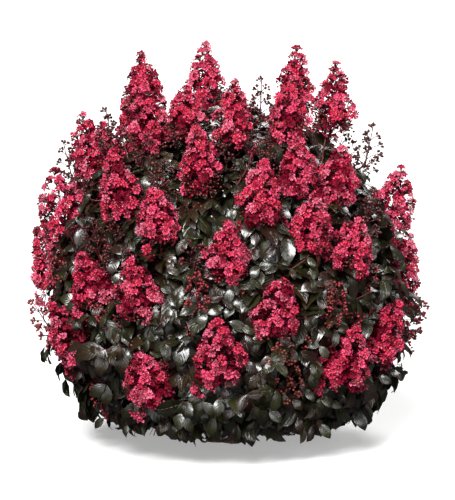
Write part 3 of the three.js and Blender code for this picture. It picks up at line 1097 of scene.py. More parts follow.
@dataclass
class Limbs:
    """The flared stem at the ground and the boughs that fan out from it, with bark in relief."""

    plan: MassPlan
    profile: Table = (
        (0, 0.064), (0.006, 0.0575), (0.014, 0.052), (0.026, 0.0475), (0.038, 0.044),
        (0.056, 0.0415), (0.076, 0.039), (0.090, 0.0335), (0.100, 0.026), (0.104, 0.012),
    )
    lean: float = 0.04
    flare_lobes: int = 5
    flare_depth: float = 0.13
    stem_sides: int = 60
    stem_step: float = 0.004
    stem_relief: float = 0.05
    stem_grain: float = 60
    limb_sides: int = 14
    limb_step: float = 0.006
    fewest_rings: int = 8
    limb_tip: float = 0.55
    limb_relief: float = 0.10
    limb_grain: float = 95
    collar_length: float = 0.042
    collar_swell: float = 1.5
    collar_rings: int = 8
    grain_stretch: float = 0.45
    muscle_grain: float = 0.35
    muscle_share: float = 0.6
    flake_edge: float = 5
    flake_shift: Triple = (3.1, 7.7, 1.3)

    def bark_height(self, p: Vector, grain: float) -> float:
        """How far the bark stands out at a point, from -1 to 1.

        Args:
            p: the point.
            grain: how many flakes there are in a metre.

        Returns:
            The height: broad muscle, with the sharp edges of flakes on it.
        """
        long = Vector((p.x, p.y, p.z * self.grain_stretch))
        muscle = noise.noise(long * grain * self.muscle_grain)
        flake = noise.noise(long * grain + Vector(self.flake_shift))
        edge = max(-1.0, min(1.0, flake * self.flake_edge))
        return self.muscle_share * muscle + (1 - self.muscle_share) * edge

    def stem_mesh(self) -> bpy.types.Mesh:
        """Makes the stem: a ring at the ground that is extruded up its profile and closed at the fork.

        Returns:
            The mesh.
        """
        top = self.profile[-1][0]
        bm = bmesh.new()
        ring = bmesh.ops.create_circle(bm, cap_ends=True, radius=1.0, segments=self.stem_sides)["verts"]
        for level in np.append(np.arange(0, top, self.stem_step), top):
            if level > 0:
                ring = extruded(bm, ring)
            radius = read(self.profile, level)
            spread = self.flare_depth * (1 - level / top) ** 2
            middle = Vector((self.lean * level, 0, level))
            for vert in ring:
                angle = math.atan2(vert.co.y, vert.co.x - self.lean * vert.co.z)
                lobed = radius * (1 + spread * math.cos(self.flare_lobes * angle))
                around = Vector((math.cos(angle), math.sin(angle), 0))
                height = self.bark_height(around * lobed + Vector((0, 0, level)), self.stem_grain)
                vert.co = around * lobed * (1 + self.stem_relief * height) + middle
        rim = [edge for edge in bm.edges if all(vert in ring for vert in edge.verts)]
        bmesh.ops.contextual_create(bm, geom=rim)
        return finished(bm, "stem")

    def limb_mesh(self, mass: Mass, bm: bmesh.types.BMesh) -> None:
        """Adds a bough: a ring that is extruded along its curve, from inside the stem to its mass.

        Args:
            mass: the mass that the bough carries.
            bm: the bmesh that it is added to.
        """
        curve = mass.curve
        start = curve.at(0)
        root = start - self.collar_length * curve.tangent(0)
        steps = max(self.fewest_rings, round(curve.length() / self.limb_step))
        collar = np.linspace(root, start, self.collar_rings)[:-1]
        line = np.concatenate([collar, curve.at(np.linspace(0, 1, steps))])
        swell = np.linspace(self.collar_swell, 1, self.collar_rings)[:-1]
        girths = np.concatenate([swell, np.linspace(1, self.limb_tip, steps)]) * mass.ring.girth
        side = across(curve.tangent(0.5))[0]
        ring = bmesh.ops.create_circle(bm, cap_ends=True, radius=1.0, segments=self.limb_sides)["verts"]
        turns = [TURN * i / self.limb_sides for i in range(self.limb_sides)]
        for step, (place, forward, girth) in enumerate(zip(line, unit(np.gradient(line, axis=0)), girths)):
            if step:
                ring = extruded(bm, ring)
            aside = unit(side - (side @ forward) * forward)
            other = np.cross(forward, aside)
            for vert, turn in zip(ring, turns):
                spoke = Vector(aside * math.cos(turn) + other * math.sin(turn))
                height = self.bark_height(Vector(place) + spoke * girth, self.limb_grain)
                vert.co = Vector(place) + spoke * girth * (1 + self.limb_relief * height)
        bmesh.ops.contextual_create(bm, geom=ring)

    def build(self) -> None:
        """Builds the stem and one piece for the boughs of each ring."""
        settle(placed("stem_bark", self.stem_mesh(), OLD_BARK.material()), ["stem"])
        young = YOUNG_BARK.material()
        for ring in RINGS:
            bm = bmesh.new()
            for mass in self.plan.on(ring):
                self.limb_mesh(mass, bm)
            piece = placed(f"boughs_{ring.name}", finished(bm, ring.name), young)
            settle(piece, [f"bough_{mass.node}" for mass in self.plan.on(ring)])


# ---------------------------------------------------------------- twigs


class TwigKind(Enum):
    """What a twig is, with its radius at its root and at its tip, and the points and sides of its tube."""

    STALK = (0.0044, 0.0030, 9, 6)
    SHOOT = (0.0036, 0.0014, 8, 5)
    FINE = (0.0017, 0.0009, 6, 4)


@dataclass(frozen=True)
class Twig:
    """A twig: its curve, its kind and the mass it belongs to."""

    curve: Curve
    kind: TwigKind
    mass: int


@dataclass
class Twigs:
    """The twigs of every mass: a stalk to each head, the leafy shoots, and finer shoots on those."""

    crown: Crown
    heads: HeadPlan
    plan: MassPlan
    seed: int = 5
    stalk_sunk: float = 0.2
    stalk_follow: float = 0.5
    tip_lifts: Table = ((0.05, -0.12), (0.3, 0.75), (0.9, 1.4))
    shoots: int = 236
    shoot_rise: tuple[float, float] = (0.062, 0.83)
    shoot_depths: tuple[float, float] = (0.93, 0.82)
    shoot_follow: float = 0.4
    crowding: float = 1.25
    clear: float = 0.012
    fine_shoots: int = 1500
    fine_rise: tuple[float, float] = (0.055, 0.84)
    rise_jitter: float = 0.012
    depth_jitter: float = 0.02
    angle_jitter: float = 0.05
    fine_billow: float = 0.085
    billow_scale: float = 9.0
    fine_depths: tuple[float, ...] = (0.955, 0.86, 0.925, 0.77, 0.945, 0.89, 0.70)
    fine_follow: float = 0.7
    fine_crowding: float = 1.12
    fine_shrink: Table = (
        (0.08, 0.97), (0.2, 1.02), (0.3, 1.01), (0.45, 0.98), (0.7, 0.92), (0.9, 0.79), (1.0, 0.70),
    )
    fine_clear: float = -0.008
    fork_shares: tuple[float, ...] = (0.22, 0.34, 0.46, 0.58, 0.70, 0.82, 0.92)
    fork_forward: float = 0.55
    fork_back_cost: float = 0.10
    fork_nearest: float = 0.05
    fork_near_cost: float = 0.3
    twigs: list[Twig] = field(default_factory=list)
    forks: list[tuple[np.ndarray, np.ndarray]] = field(default_factory=list)
    random: np.random.Generator = field(init=False)

    def __post_init__(self) -> None:
        """Grows the twigs."""
        self.random = np.random.default_rng(self.seed)
        self.grow_stalks()
        self.grow_shoots()
        self.grow_fine_shoots()

    def end_direction(self, p: np.ndarray) -> np.ndarray:
        """Which way a shoot points at its tip: outward and up, and level near the ground."""
        return unit(self.crown.outward(p) + UP * read(self.tip_lifts, p[2]))

    def from_middle(
        self, kind: TwigKind, mass: int, tip: np.ndarray, arriving: np.ndarray, follow: float
    ) -> None:
        """Grows a twig from the middle of a mass.

        Args:
            kind: what it is.
            mass: the index of the mass.
            tip: where it ends.
            arriving: its direction there.
            follow: how much it leaves along the bough that carries the mass.
        """
        middle = self.plan.masses[mass].middle
        leaving = unit(unit(tip - middle) + follow * self.plan.masses[mass].curve.tangent(1.0))
        self.twigs.append(Twig(curve_between(middle, leaving, tip, arriving), kind, mass))

    def grow_stalks(self) -> None:
        """Grows the stalk of each head from the middle of its mass."""
        for head in self.heads.heads:
            mass = int(self.plan.nearest(head.foot))
            tip = head.foot + head.axis * self.stalk_sunk * head.length
            self.from_middle(TwigKind.STALK, mass, tip, head.axis, self.stalk_follow)

    def grow_shoots(self) -> None:
        """Grows the leafy shoots to their places over the crown, clear of the heads."""
        for i in range(self.shoots):
            share = ((i + 0.5) / self.shoots) ** self.crowding
            height = lerp(*self.shoot_rise, share) * self.crown.height
            tip = self.crown.point(i * GOLDEN_ANGLE, height, lerp(*self.shoot_depths, share))
            if self.heads.distance(tip[None])[0] < self.clear:
                continue
            mass = int(self.plan.nearest(tip))
            self.from_middle(TwigKind.SHOOT, mass, tip, self.end_direction(tip), self.shoot_follow)

    def find_forks(self) -> None:
        """Finds where finer shoots may leave the twigs of each mass, with the twigs' directions there."""
        shares = np.array(self.fork_shares)
        for mass in range(len(self.plan.masses)):
            curves = [twig.curve for twig in self.twigs if twig.mass == mass]
            places = np.concatenate([curve.at(shares) for curve in curves])
            self.forks.append((places, np.concatenate([curve.tangent(shares) for curve in curves])))

    def fork(self, tip: np.ndarray, mass: int) -> tuple[np.ndarray, np.ndarray]:
        """Where a finer shoot leaves a twig of its mass, and the twig's direction there.

        Args:
            tip: the finer shoot's tip.
            mass: the mass it belongs to.

        Returns:
            The place and the direction.
        """
        places, directions = self.forks[mass]
        away = tip - places
        reach = np.linalg.norm(away, axis=1)
        turn = (away * directions).sum(1) / np.maximum(reach, NUDGE)
        back = self.fork_back_cost * np.maximum(0, self.fork_forward - turn)
        near = np.where(reach < self.fork_nearest, self.fork_near_cost, 0)
        best = int((reach + back + near).argmin())
        return places[best], directions[best]

    def fine_tip(self, i: int) -> np.ndarray:
        """Where one of the finer shoots ends: on a billowing layer, drawn in where a head stands near.

        Args:
            i: the shoot's number.

        Returns:
            The point.
        """
        share = ((i + 0.5) / self.fine_shoots) ** self.fine_crowding
        rise = lerp(*self.fine_rise, share) + self.rise_jitter * (self.random.random() - 0.5)
        height = rise * self.crown.height
        depth = self.fine_depths[i % len(self.fine_depths)] + self.depth_jitter * (self.random.random() - 0.5)
        depth *= read(self.fine_shrink, height)
        angle = i * GOLDEN_ANGLE + self.angle_jitter * self.random.random()
        middle = Vector(self.crown.point(angle, height, depth)) * self.billow_scale
        depth *= 1 + self.fine_billow * noise.noise(middle)
        apart = self.heads.distance(self.crown.point(angle, height, depth)[None])[0]
        return self.crown.point(angle, height, depth * read(self.heads.bay, apart))

    def grow_fine_shoots(self) -> None:
        """Grows the finer shoots that carry most of the leaves."""
        self.find_forks()
        for i in range(self.fine_shoots):
            tip = self.fine_tip(i)
            if self.heads.distance(tip[None])[0] < self.fine_clear:
                continue
            mass = int(self.plan.nearest(tip))
            start, direction = self.fork(tip, mass)
            leaving = unit(unit(tip - start) + self.fine_follow * direction)
            curve = curve_between(start, leaving, tip, self.end_direction(tip))
            self.twigs.append(Twig(curve, TwigKind.FINE, mass))

    def build(self) -> None:
        """Builds one piece for the twigs of each ring."""
        wood = TWIG_WOOD.material()
        for ring in RINGS:
            joined = JoinedMesh()
            for kind in TwigKind:
                root, tip, points, sides = kind.value
                chosen = [t for t in self.twigs if t.kind is kind and self.plan.masses[t.mass].ring is ring]
                if not chosen:
                    continue
                shares = np.linspace(0, 1, points)
                paths = np.array([twig.curve.at(shares) for twig in chosen])
                radii = np.tile(lerp(root, tip, shares), (len(chosen), 1))
                joined.add_tubes(paths, radii, sides, self.random.random(len(chosen)))
            settle(joined.build(f"twigs_{ring.name}", wood))


# ---------------------------------------------------------------- leaves


class LeafTone(Enum):
    """The tones of the leaves, with the share of the sprays that have each."""

    NIGHT_GREEN = 0.50
    PLUM = 0.18
    BRONZE = 0.10
    OLIVE = 0.22


@dataclass(frozen=True)
class BladeForm:
    """How one blade lies: its bend to the tip, its fold at the midrib, its twist and its edge's wave."""

    bend: float
    fold: float
    twist: float
    wave: float


BLADE_FORMS = (
    BladeForm(0.95, 0.55, 0.25, 0.026),
    BladeForm(1.4, 0.35, -0.4, 0.036),
    BladeForm(0.7, 0.75, 0.1, 0.018),
    BladeForm(1.7, 0.5, 0.5, 0.030),
    BladeForm(1.15, 0.25, -0.2, 0.040),
    BladeForm(0.85, 0.65, -0.5, 0.022),
    BladeForm(1.5, 0.4, 0.35, 0.028),
    BladeForm(1.05, 0.5, 0.0, 0.034),
)


@dataclass
class Leaves:
    """Pointed oval leaves in pairs along the shoots, folded at the midrib and arched towards the tip."""

    crown: Crown
    heads: HeadPlan
    twigs: Twigs
    place_seed: int = 23
    deal_seed: int = 41
    length: float = 0.084
    width: float = 0.046
    outline: Table = (
        (0, 0.03), (0.08, 0.30), (0.22, 0.78), (0.42, 1.0), (0.62, 0.90), (0.80, 0.56), (0.93, 0.18), (1, 0),
    )
    row_crowding: float = 0.92
    waves: float = 1.7
    wave_offset: float = 1.3
    tip_weld: float = 0.012
    sizes: Span = Span(0.74, 0.42)
    size_by_height: Table = ((0.1, 1.08), (0.45, 1.0), (0.9, 0.82))
    young_from: float = 0.72
    young_shrink: float = 0.38
    spacing: float = 0.0205
    first_share: dict[TwigKind, float] = field(default_factory=lambda: {
        TwigKind.STALK: 0.20, TwigKind.SHOOT: 0.22, TwigKind.FINE: 0.20,
    })
    last_share: float = 0.985
    stalk_bare: float = 0.93
    pair_offset: float = 0.25
    pair_turn: float = TURN / 4 + 0.25
    pair_jitter: float = 0.5
    follow: float = 0.45
    push: float = 0.30
    drops: Table = ((0.10, 1.6), (0.22, 1.1), (0.35, 0.60), (0.75, 0.36), (1.0, 0.2))
    drop_shares: Span = Span(0.6, 0.8)
    turn_jitter: float = 0.9
    most_inward: float = 0.05
    turned_back: float = 1.2
    face_out: float = 0.62
    face_up: Table = ((0.06, 0.36), (0.25, 0.45), (0.45, 0.74), (0.8, 0.95), (1.0, 1.0))
    face_jitter: float = 0.75
    probes: Table = ((0.35, 0.0), (0.55, 0.2), (0.55, -0.2), (0.95, 0.0))
    probe_sag: float = 0.35
    behind: tuple[float, ...] = (0.022, 0.05, 0.08)
    tries: int = 6
    reach: Table = (
        (0.08, 1.04), (0.2, 1.08), (0.3, 1.06), (0.45, 1.01), (0.65, 0.95), (0.85, 0.82), (1.0, 0.70),
    )
    lowest: float = 0.055
    clear_hollow: float = -0.03
    clear_head: float = -0.004
    fine_depth: float = 0.74
    odd_share: float = 0.18

    def blade(self, form: BladeForm, rows: int, halves: int) -> Shape:
        """Makes one blade, a metre long for a size of one: a grid drawn in to the leaf's outline.

        Args:
            form: how it lies.
            rows: how many faces long it is.
            halves: how many faces wide each half is.

        Returns:
            The shape, X across, Y along and Z out of its upper side.
        """
        bm = bmesh.new()
        bmesh.ops.create_grid(bm, x_segments=2 * halves, y_segments=rows, size=0.5)
        aspect = self.width / self.length
        marks = {}
        for vert in bm.verts:
            aside, along = 2 * vert.co.x, (vert.co.y + 0.5) ** self.row_crowding
            wide = 0.5 * aspect * read(self.outline, along) * aside
            phase = self.wave_offset if aside > 0 else 0
            lift = form.fold * abs(wide) - wide * wide / aspect
            lift += form.wave * abs(aside) * math.sin(along * TURN * self.waves + phase)
            angle, tilt = form.bend * along, form.twist * along
            run, fall = math.sin(angle) / form.bend, -(1 - math.cos(angle)) / form.bend
            x = wide * math.cos(tilt) - lift * math.sin(tilt)
            z = wide * math.sin(tilt) + lift * math.cos(tilt)
            vert.co = Vector((x, run + z * math.sin(angle), fall + z * math.cos(angle)))
            marks[vert.co.to_tuple(6)] = (aside, along)
        bmesh.ops.remove_doubles(bm, verts=bm.verts, dist=self.tip_weld)
        return Shape.of(bm, lambda co: marks.get(co.to_tuple(6), (0.0, 1.0 if co.y > 0.5 else 0.0)))

    def slots(self) -> dict[str, np.ndarray]:
        """Every place where a leaf could stand.

        Returns:
            Arrays with a row for each place: root, axis, turn, size, spray and ring.
        """
        random = np.random.default_rng(self.place_seed)
        found: dict[str, list] = {name: [] for name in ("root", "axis", "turn", "size", "spray", "ring")}
        for number, twig in enumerate(self.twigs.twigs):
            first = self.first_share[twig.kind]
            pairs = max(2, int((1 - first) * twig.curve.length() / self.spacing))
            shares = np.linspace(first, self.last_share, pairs)
            if twig.kind is TwigKind.STALK:
                shares = shares * self.stalk_bare
            start = random.random() * TURN
            ring = RINGS.index(self.twigs.plan.masses[twig.mass].ring)
            for level, share in enumerate(shares):
                young = max(0.0, (share - self.young_from) / (1 - self.young_from))
                for side in (0, 1):
                    at = share - self.pair_offset * side * (1 - first) / pairs
                    root = twig.curve.at(at)
                    jitter = self.pair_jitter * (random.random() - 0.5)
                    size = self.sizes.at(random.random()) * (1 - self.young_shrink * young)
                    found["root"].append(root)
                    found["axis"].append(twig.curve.tangent(at))
                    found["turn"].append(start + level * self.pair_turn + side * TURN / 2 + jitter)
                    found["size"].append(size * read(self.size_by_height, root[2]))
                    found["spray"].append(number)
                    found["ring"].append(ring)
        return {name: np.array(rows) for name, rows in found.items()}

    def frames(self, slots: dict[str, np.ndarray], random: np.random.Generator) -> np.ndarray:
        """Which way each leaf lies: it stands out from its shoot, hangs, and turns its face to the light.

        Args:
            slots: the places.
            random: where the small differences come from.

        Returns:
            A matrix for each place whose columns are the leaf's across, along and upper directions.
        """
        root, axis = slots["root"], slots["axis"]
        count = len(root)
        side, off = across(axis)
        turn = (slots["turn"] + self.turn_jitter * (random.random(count) - 0.5))[:, None]
        spoke = side * np.cos(turn) + off * np.sin(turn)
        outward = self.crown.outward(root)
        drop = (read(self.drops, root[:, 2]) * self.drop_shares.at(random.random(count)))[:, None]
        along = unit(self.follow * axis + spoke + self.push * outward - drop * UP)
        facing = (along * outward).sum(1, keepdims=True)
        along = unit(along - np.minimum(0, facing + self.most_inward) * self.turned_back * outward)
        lift = read(self.face_up, root[:, 2])[:, None]
        jitter = self.face_jitter * (random.random((count, 3)) - 0.5)
        wanted = unit(self.face_out * outward + lift * UP + jitter)
        upper = unit(wanted - (wanted * along).sum(1, keepdims=True) * along)
        return np.stack([np.cross(along, upper), along, upper], axis=-1)

    def has_room(self, slots: dict[str, np.ndarray], frames: np.ndarray) -> np.ndarray:
        """Whether each leaf keeps to the crown, off the ground and clear of the heads and their fronts.

        Args:
            slots: the places.
            frames: which way each leaf lies.

        Returns:
            A yes or no for each place.
        """
        size = (self.length * slots["size"])[:, None]
        fine = np.ones(len(size), bool)
        for share, aside in self.probes:
            p = slots["root"] + frames[:, :, 1] * share * size + frames[:, :, 0] * aside * size
            p = p - frames[:, :, 2] * self.probe_sag * share**2 * size
            outward = self.crown.outward(p)
            fine &= (p[:, 2] > self.lowest) & ~self.crown.in_hollow(p, self.clear_hollow)
            apart = self.heads.distance(p)
            limit = read(self.reach, p[:, 2]) * read(self.heads.bay, apart)
            fine &= (self.crown.depth(p) < limit) & (apart > self.clear_head)
            for back in self.behind:
                fine[fine] &= self.heads.distance(p[fine] - back * outward[fine]) > self.clear_head
        return fine

    def settled(
        self, slots: dict[str, np.ndarray], random: np.random.Generator
    ) -> tuple[np.ndarray, np.ndarray]:
        """Tries the leaves in their places, and those without room again in other ways.

        Args:
            slots: the places.
            random: where the small differences come from.

        Returns:
            Which way each leaf lies, and whether it has room at all.
        """
        frames = self.frames(slots, random)
        settled = self.has_room(slots, frames)
        for _ in range(self.tries):
            left = np.flatnonzero(~settled)
            some = {name: array[left] for name, array in slots.items()}
            tried = self.frames(some, random)
            good = self.has_room(some, tried)
            frames[left[good]] = tried[good]
            settled[left[good]] = True
        LOG.info("%d leaves of %d places", settled.sum(), len(settled))
        return frames, settled

    def deal_tones(self, sprays: np.ndarray, random: np.random.Generator) -> np.ndarray:
        """The index of each leaf's tone: mostly that of its spray, here and there another.

        Args:
            sprays: the number of each leaf's spray.
            random: where the small differences come from.

        Returns:
            The indices.
        """
        shares = [tone.value for tone in LeafTone]
        tone_of = random.choice(len(shares), size=len(self.twigs.twigs), p=shares)[sprays]
        odd = random.random(len(tone_of)) < self.odd_share
        tone_of[odd] = random.integers(0, len(shares), odd.sum())
        return tone_of

    def build(self) -> None:
        """Deals the leaves out and builds a piece for each ring and tone."""
        random = np.random.default_rng(self.deal_seed)
        slots = self.slots()
        frames, settled = self.settled(slots, random)
        tone_of = self.deal_tones(slots["spray"], random)
        form_of = random.integers(0, len(BLADE_FORMS), len(tone_of))
        outer = self.crown.depth(slots["root"]) > self.fine_depth
        tints = random.random(len(tone_of))
        fine = [self.blade(form, 5, 2) for form in BLADE_FORMS]
        plain = [self.blade(form, 4, 1) for form in BLADE_FORMS]
        turns = frames * (self.length * slots["size"])[:, None, None]
        materials = [finish.material() for finish in LEAF_FINISHES]
        for place, ring in enumerate(RINGS):
            for tone, label in enumerate(LeafTone):
                joined = JoinedMesh()
                some = settled & (slots["ring"] == place) & (tone_of == tone)
                for form in range(len(BLADE_FORMS)):
                    for shapes, layer in ((fine, outer), (plain, ~outer)):
                        chosen = some & (form_of == form) & layer
                        joined.add(shapes[form], turns[chosen], slots["root"][chosen], tints[chosen])
                piece = joined.build(f"leaves_{ring.name}_{label.name.lower()}", materials[tone])
                nodes = [f"foliage_{mass.node}" for mass in self.twigs.plan.on(ring)] if tone == 0 else []
                settle(piece, nodes)


# ---------------------------------------------------------------- blossom


class PetalTone(Enum):
    """The tones of the petals, with the share of the tufts that have each."""

    CRIMSON = 0.36
    ROSE = 0.38
    PINK = 0.18
    # the wine tone is a dark tone of a few tufts, and it is also painted shade: the dark flowers that fill
    # each head's middle
    WINE = 0.08

    @property
    def index(self) -> int:
        """Its place among the tones."""
        return list(PetalTone).index(self)


class Whorl(NamedTuple):
    """A whorl of side branches: its height as a share of the head, and what each branch carries."""

    rise: float
    branches: int
    flowers: int = 0
    buds: int = 0


class Tuft(NamedTuple):
    """The end of a side branch: its whorl, its place, where it leaves the stalk, and its direction."""

    whorl: Whorl
    end: np.ndarray
    root: np.ndarray
    facing: np.ndarray


class Flower(NamedTuple):
    """A flower: its place, where it faces, its size, the index of its tone, and its tint."""

    place: np.ndarray
    facing: np.ndarray
    size: float
    tone: int
    tint: float


class Bud(NamedTuple):
    """A bud: its place, where it faces, its size and the index of its tone."""

    place: np.ndarray
    facing: np.ndarray
    size: float
    tone: int


@dataclass
class Sprays:
    """What the panicles hand on to the builder: flowers, buds and the stalks that carry them."""

    flowers: list[Flower] = field(default_factory=list)
    buds: list[Bud] = field(default_factory=list)
    flower_stalks: list[tuple[np.ndarray, np.ndarray]] = field(default_factory=list)
    bud_stalks: list[tuple[np.ndarray, np.ndarray]] = field(default_factory=list)
    branches: list[tuple[np.ndarray, np.ndarray, np.ndarray]] = field(default_factory=list)

    def add_flower(self, root: np.ndarray, flower: Flower) -> None:
        """Adds a flower on a stalk from its root."""
        self.flowers.append(flower)
        self.flower_stalks.append((root, flower.place))

    def add_bud(self, root: np.ndarray, bud: Bud) -> None:
        """Adds a bud on a stalk from its root."""
        self.buds.append(bud)
        self.bud_stalks.append((root, bud.place))

    def add_branch(self, tuft: Tuft, arch: np.ndarray) -> None:
        """Adds the side branch of a tuft, which arches by the given amount."""
        self.branches.append((tuft.root, (tuft.root + tuft.end) / 2 + arch, tuft.end))


@dataclass
class Blossom:
    """The panicles: a stalk with whorls of side branches that end in tufts of flowers and buds."""

    heads: HeadPlan
    twigs: Twigs
    dress_seed: int = 77
    build_seed: int = 90
    open_whorls: tuple[Whorl, ...] = (
        Whorl(-0.1, 2, 5, 1), Whorl(0.06, 6, 4, 2), Whorl(0.18, 6, 4, 2), Whorl(0.31, 5, 4, 2),
        Whorl(0.44, 5, 4, 1), Whorl(0.57, 4, 4, 1), Whorl(0.69, 3, 4, 1), Whorl(0.80, 2, 4, 0),
        Whorl(0.91, 1, 4, 0),
    )
    core_whorls: tuple[Whorl, ...] = (
        Whorl(0.02, 5), Whorl(0.13, 5), Whorl(0.25, 5), Whorl(0.37, 4), Whorl(0.49, 3),
        Whorl(0.61, 2), Whorl(0.72, 1),
    )
    bud_whorls: tuple[Whorl, ...] = (
        Whorl(0.0, 4, buds=5), Whorl(0.18, 4, buds=6), Whorl(0.37, 4, buds=6), Whorl(0.55, 3, buds=6),
        Whorl(0.72, 2, buds=6), Whorl(0.88, 1, buds=6),
    )
    skirt_whorls: tuple[Whorl, ...] = (Whorl(0.0, 6, buds=5),)
    spray_whorls: tuple[Whorl, ...] = (Whorl(0.2, 3, buds=4), Whorl(0.65, 2, buds=5), Whorl(1.0, 1, buds=5))
    outline: Table = (
        (-0.1, 1.04), (-0.02, 0.76), (0.12, 0.98), (0.3, 0.99),
        (0.5, 0.72), (0.7, 0.40), (0.85, 0.17), (0.95, 0.02),
    )
    open_reach: float = 0.76
    core_reach: float = 0.52
    bud_reach: float = 0.85
    spray_reach: float = 0.8
    turn_jitter: float = 0.35
    rise_jitter: float = 0.05
    branch_reaches: Span = Span(0.80, 0.42)
    branch_drop: Span = Span(0.006, 0.55)
    longest_drop: float = 0.03
    branch_arch: float = 0.003
    outward_from: float = 0.25
    tuft: float = 0.0185
    tuft_slim: Span = Span(1.1, -0.66)
    first_out: float = 0.4
    flower_cone: float = 1.25
    flower_places: Span = Span(0.7, 0.5)
    flower_sizes: Span = Span(0.84, 0.3)
    flower_shrink: Span = Span(1.06, -0.22)
    flower_stalk: float = 0.008
    odd_flower: float = 0.25
    core_bright: float = 0.35
    core_size: float = 1.6
    core_sizes: Span = Span(0.85, 0.3)
    core_bright_size: float = 0.8
    late_share: float = 0.18
    faded_below: float = 0.25
    faded_buds: int = 7
    faded: Table = ((0.3, 0.08), (0.6, 0.16), (0.88, 0.40))
    side_bud_cone: float = 1.5
    side_bud_places: Span = Span(0.7, 0.4)
    side_bud_sizes: Span = Span(0.6, 0.4)
    bud_tuft: float = 0.0084
    bud_cone: float = 1.3
    bud_places: Span = Span(0.6, 0.7)
    bud_sizes: Span = Span(0.8, 0.45)
    odd_bud: float = 0.2
    dark_buds: float = 0.5
    slimmest_bud_head: float = 0.034
    spray_share: float = 0.10
    spray_heights: tuple[float, float] = (0.22, 0.84)
    spray_size: tuple[float, float] = (0.062, 0.024)
    spray_lift: float = 0.6
    flower_radius: float = 0.0138
    petal_width: float = 0.0094
    petal: Table = ((0.08, 0.02), (0.45, 0.60), (0.78, 1.0), (1.0, 0.62))
    petal_count: int = 6
    petal_bends: Table = ((0.15, 0.2), (0.45, 0.9), (0.65, 0.5), (0.3, 0.7), (0.55, 1.3), (0.8, 0.9))
    ruffle: float = 0.0024
    crease: float = 1.4
    wobble: float = 0.0014
    wobble_growth: float = 1.5
    notch: float = 0.09
    claw_weld: float = 0.0003
    cup_share: float = 0.8
    curl_from: float = 0.45
    face_jitter: float = 0.7
    heart_radius: float = 0.0020
    heart_height: float = 0.0028
    heart_star: tuple[float, float] = (0.55, 1.2)
    heart_lift: float = 0.0015
    heart_seat: float = 0.0026
    heart_top: float = 0.005
    bud_radius: float = 0.0039
    bud_top: float = 0.9
    bud_points: tuple[float, float] = (0.1, 0.4)
    stalk_reach: Span = Span(0.05, 0.93)
    stalk_radii: tuple[float, ...] = tuple(np.linspace(0.0025, 0.0009, 7))
    branch_radii: tuple[float, ...] = (0.0013, 0.0011, 0.0009)
    flower_stalk_radii: tuple[float, ...] = (0.0005, 0.0026)
    bud_stalk_radii: tuple[float, ...] = (0.0007, 0.0006)

    def petals(self, cup: float, curl: float, seed: int, halves: int = 1) -> Shape:
        """Makes the petals of a flower that faces +Z: each a narrow claw, then a round crinkled blade.

        Args:
            cup: how far they stand up from flat.
            curl: how far their blades turn back again.
            seed: where their crinkles come from.
            halves: how many faces wide each half of a petal is; 0 for a petal that is one face wide.

        Returns:
            The shape, life size.
        """
        bm = bmesh.new()
        rows = len(self.petal) - 1
        bmesh.ops.create_grid(bm, x_segments=max(1, 2 * halves), y_segments=rows, size=0.5)
        for vert in bm.verts:
            row = round((vert.co.y + 0.5) * rows)
            aside = 2 * vert.co.x
            reach, wide = self.petal[row]
            middle = row > 1 and aside == 0
            reach -= self.notch if row == rows and middle else 0.0
            fold = self.ruffle * ((row + round(aside)) % 3 - 1) * (row > 1)
            fold = -self.crease * self.ruffle if middle else fold
            vert.co = Vector((self.flower_radius * reach, aside * self.petal_width / 2 * wide, fold))
        bmesh.ops.remove_doubles(bm, verts=bm.verts, dist=self.claw_weld)
        geom = bm.verts[:] + bm.edges[:] + bm.faces[:]
        more = self.petal_count - 1
        bmesh.ops.spin(
            bm, geom=geom, cent=(0, 0, 0), axis=(0, 0, 1),
            angle=TURN * more / self.petal_count, steps=more, use_duplicate=True,
        )
        return self.crinkled(bm, cup, curl, np.random.default_rng(seed))

    def crinkled(self, bm: bmesh.types.BMesh, cup: float, curl: float, random: np.random.Generator) -> Shape:
        """Cups, curls and crinkles the flat petals of a flower.

        Args:
            bm: the petals.
            cup: how far they stand up from flat.
            curl: how far their blades turn back again.
            random: where their crinkles come from.

        Returns:
            The shape, whose marks are the places on each petal.
        """
        marks = {}
        for vert in bm.verts:
            reach = math.hypot(vert.co.x, vert.co.y)
            share = reach / self.flower_radius
            turn = math.remainder(math.atan2(vert.co.y, vert.co.x), TURN / self.petal_count)
            aside = reach * math.sin(turn) / self.petal_width * 2
            lift = math.sin(cup) * reach - curl * self.flower_radius * max(0.0, share - self.curl_from) ** 2
            flat = math.cos(cup * self.cup_share)
            wobble = Vector(random.normal(0, self.wobble, 3))
            wobble *= min(1.0, self.wobble_growth * share * share)
            vert.co = Vector((vert.co.x * flat, vert.co.y * flat, vert.co.z + lift)) + wobble
            marks[vert.co.to_tuple(6)] = (aside, min(1.0, share))
        return Shape.of(bm, lambda co: marks[co.to_tuple(6)])

    def heart(self) -> Shape:
        """Makes the tuft of stamens in the middle of a flower: a cone drawn out to four points.

        Returns:
            The tuft.
        """
        bm = bmesh.new()
        bmesh.ops.create_cone(
            bm, segments=8, radius1=self.heart_radius, radius2=0, depth=self.heart_height, cap_ends=False,
        )
        for i, vert in enumerate(bm.verts):
            if vert.co.z < 0:
                vert.co *= self.heart_star[i % 2]
                vert.co.z += self.heart_lift * (i % 2)
            vert.co.z += self.heart_seat
        return Shape.of(bm, lambda co: (0.0, min(1.0, max(0.0, co.z / self.heart_top))))

    def bud(self, pointed: float) -> Shape:
        """Makes a small round bud that faces +Z.

        Args:
            pointed: how much its top is drawn out.

        Returns:
            The shape, life size, with its root at the origin.
        """
        bm = bmesh.new()
        bmesh.ops.create_uvsphere(bm, u_segments=5, v_segments=3, radius=self.bud_radius)
        for vert in bm.verts:
            top = vert.co.z > self.bud_top * self.bud_radius
            vert.co.z += self.bud_radius * (1 + (pointed if top else 0))
        return Shape.of(bm, lambda co: (0.0, min(1.0, co.z / (2 * self.bud_radius))))

